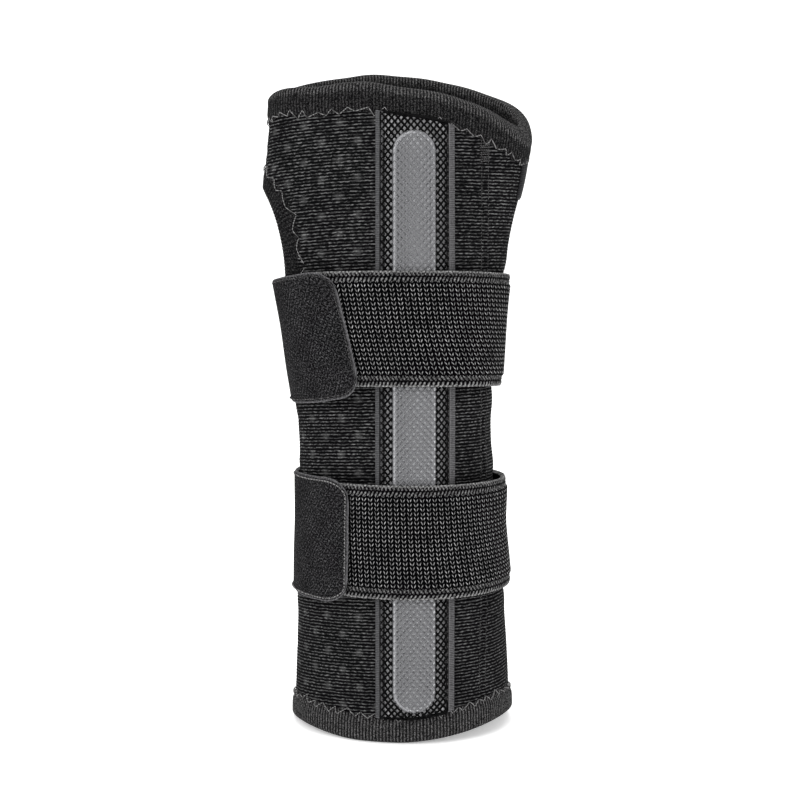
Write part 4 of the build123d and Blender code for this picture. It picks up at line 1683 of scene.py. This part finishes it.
        patch = cut_cloth(self.name + "_hook_tape", (24, 36), lay)
        flat = sum(p.area for p in patch.data.polygons)
        patch["flat_area"] = flat
        thicken(patch, 0.3 * MM)
        dress(patch, HOOK_TAPE, body)
        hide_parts(self.name + "_hook_patch")
        columns, rows = np.meshgrid(np.linspace(0.04, 0.96, 12), np.linspace(0.04, 0.96, 20))
        angle = first + (last - first) * columns.ravel()
        across = rows.ravel() * 2 - 1
        top = self.tab_point(angle, across, np.full_like(angle, 1.4 * MM), 3 * MM)
        down = self.tab_point(angle, across, np.full_like(angle, 1.9 * MM), 3 * MM)
        points, faces = stitch_master()
        points = points * np.array([1.0, 0.16, 0.16])
        points[:, 2] += 0.35 * np.clip(points[:, 0] - 0.5, 0, None) * 2
        run = down - top
        up = np.tile([[0.0, 0.0, 1.0]], (len(run), 1))
        out = np.cross(up, run / MM)
        out /= np.linalg.norm(out, axis=1, keepdims=True)
        heading = run / np.linalg.norm(run, axis=1, keepdims=True)
        places = top[:, None] + heading[:, None] * (points[:, 0] * 0.5 * MM)[None, :, None]
        places = places + out[:, None] * (points[:, 1] * 1.2 * MM)[None, :, None]
        places = places + up[:, None] * (points[:, 2] * 1.2 * MM)[None, :, None]
        hooks = dress(copies(self.name + "_hooks", points, faces, places), HOOK_TAPE, body)


# ---------------------------------------------------------------- small sewn parts


@dataclass
class SewnDetails:
    """The blank side label, the upright seam's stitches and its tack."""

    label_height: float = 190.0 * MM
    label_length: float = 16.0 * MM
    label_width: float = 12.0 * MM
    label_y: float = -7.0 * MM

    def build(self) -> None:
        """Makes the label and the stitches."""

        def lay(u: Array, v: Array) -> Laid:
            z = self.label_height + (v - 0.5) * self.label_length
            y = self.label_y + (u - 0.5) * self.label_width
            _, _, half, middle = FORM.at(z)
            angle = np.arccos(np.clip((middle - y) / half, -1, 1))
            rim = np.minimum(u, 1 - u) * self.label_width
            rim = np.minimum(rim, np.minimum(v, 1 - v) * self.label_length)
            out = 0.75 * MM - 0.3 * MM * step(0.9 * MM, 0.0, rim)
            here = FORM.point(angle, z, Lifts(), out + FORM.swell(angle, z))
            edge = 0.15 * np.exp(-(((rim - 1.2 * MM) / (0.3 * MM)) ** 2))
            return Laid(here, np.stack([y, z], axis=-1), {"edge": edge})

        label = cut_cloth("side_label_cloth", (34, 44), lay)
        thicken(label, 0.5 * MM)
        dress(label, LABEL_CLOTH, "root")
        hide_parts("side_label")
        z = np.linspace(16 * MM, 208 * MM, 500)
        for name, shift in (("seam_stitches_near", -1.1 * MM), ("seam_stitches_far", 1.1 * MM)):
            angle = FORM.seam_angle(z, FINGER_SEAM_X + shift)
            line = FORM.point(angle, z, Lifts(), FORM.swell(angle, z) + 0.02 * MM)
            starts, ends = paces(line, 2.4 * MM, 0.7 * MM)
            up = np.tile([[0.5, -0.8, 0.0]], (len(starts), 1))
            sew(name, starts, ends, up, 0.13 * MM, DARK_THREAD, bow=0.1 * MM)
        tack = np.linspace(194 * MM, 200 * MM, 9)
        angle = FORM.seam_angle(tack, FINGER_SEAM_X - 1.7 * MM)
        far = FORM.seam_angle(tack, FINGER_SEAM_X + 1.7 * MM)
        starts = FORM.point(angle, tack, Lifts(), 0.1 * MM)
        ends = FORM.point(far, tack + 0.3 * MM, Lifts(), 0.1 * MM)
        up = np.tile([[0.5, -0.8, 0.0]], (len(starts), 1))
        sew("seam_tack", starts, ends, up, 0.16 * MM, DARK_THREAD, bow=0.2 * MM)


# ---------------------------------------------------------------- studio


@dataclass
class Studio:
    """The floor, the backdrop, the lights and the camera."""

    lens: float = 72.0
    distance: float = 560.0 * MM
    pitch: float = math.radians(5.0)
    aim: tuple[float, float, float] = (-0.84 * MM, 0.0, 112.7 * MM)

    def build(self) -> None:
        """Sets the studio up."""
        self.build_paper()
        self.add_light("key_softbox", (-0.75, -0.95, 0.95), 0.9, 8.0)
        self.add_light("fill_softbox", (0.95, -0.75, 0.55), 0.9, 3.0)
        self.add_light("top_softbox", (0.0, 0.1, 1.25), 0.9, 5.0)
        self.add_light("back_softbox", (0.3, 1.1, 0.8), 0.9, 4.0)
        scene = bpy.context.scene
        world = bpy.data.worlds.new("studio_air")
        world.use_nodes = True
        world.node_tree.nodes["Background"].inputs["Color"].default_value = linear("#ffffff")
        world.node_tree.nodes["Background"].inputs["Strength"].default_value = 0.8
        scene.world = world
        scene.view_settings.view_transform = "Standard"
        bpy.ops.object.select_all(action="DESELECT")
        x, y, z = self.aim
        place = (x, y - self.distance * math.cos(self.pitch), z + self.distance * math.sin(self.pitch))
        bpy.ops.object.camera_add(location=place, rotation=(math.pi / 2 - self.pitch, 0, 0))
        camera = bpy.context.object
        camera.data.lens = self.lens
        camera.data.sensor_width = 36.0
        camera.data.clip_start = 0.01
        scene.camera = camera

    def build_paper(self) -> None:
        """One sheet of paper that is the floor and curves up behind."""
        bpy.ops.object.select_all(action="DESELECT")
        bpy.ops.mesh.primitive_grid_add(x_subdivisions=4, y_subdivisions=80, size=1.0)
        paper = bpy.context.object
        paper.name = "background_paper"
        share = corners(paper) + 0.5
        walked = share[:, 1] * 5.2 - 2.2
        turn = np.clip((walked - 1.4) / 0.5, 0.0, math.pi / 2)
        y = np.minimum(walked, 1.4) + 0.5 * np.sin(turn)
        z = 0.5 * (1 - np.cos(turn)) + np.maximum(walked - 1.4 - 0.25 * math.pi, 0.0)
        move_corners(paper, np.stack([(share[:, 0] - 0.5) * 6.0, y, z - 0.0002], axis=-1))
        paper.data.materials.append(PAPER.build())
        alone(paper)
        bpy.ops.object.shade_smooth()

    def add_light(self, name: str, place: tuple[float, float, float], size: float, power: float) -> None:
        """Adds a square softbox aimed at the object.

        Args:
            name: The light's name.
            place: Where it hangs.
            size: Its side in metres.
            power: Its power in watts.
        """
        bpy.ops.object.select_all(action="DESELECT")
        bpy.ops.object.light_add(type="AREA", location=place)
        light = bpy.context.object
        light.name = name
        light.data.size = size
        light.data.energy = power
        towards = np.array([0.0, 0.0, 0.11]) - np.array(place)
        flat = math.hypot(towards[0], towards[1])
        light.rotation_euler = (math.atan2(flat, -towards[2]), 0.0, math.atan2(-towards[0], towards[1]))


def main() -> None:
    """Builds the wrist splint and its studio."""
    logging.basicConfig(level=logging.INFO, format="%(name)s %(message)s")
    for thing in list(bpy.data.objects):
        bpy.data.objects.remove(thing)
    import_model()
    Studio().build()
    PaddedSleeve().build()
    EndBinding("hand_binding", "hand_end_binding", 9.0 * MM, Ribs.ON_FOLD, 900).build()
    EndBinding("forearm_binding", "forearm_end_binding", 9.0 * MM, Ribs.FULL, 900, hand=False).build()
    ThumbBinding("thumb_binding", "thumb_hole_binding", 7.9 * MM, Ribs.FAINT, 560, zigzag=5.2 * MM).build()
    StayPocket().build()
    Strap("upper", 138.9 * MM, -31 * MM, 0.06, 0.08, 138.1 * MM, 10.0, 0.4, beading=0.16 * MM).build()
    Strap(
        "lower", 68.7 * MM, -29 * MM, 0.0, 0.0, 68.5 * MM, 0.0, 0.12, beading=0.24 * MM, flare=1.6 * MM
    ).build()
    SewnDetails().build()


if __name__ == "__main__":
    main()
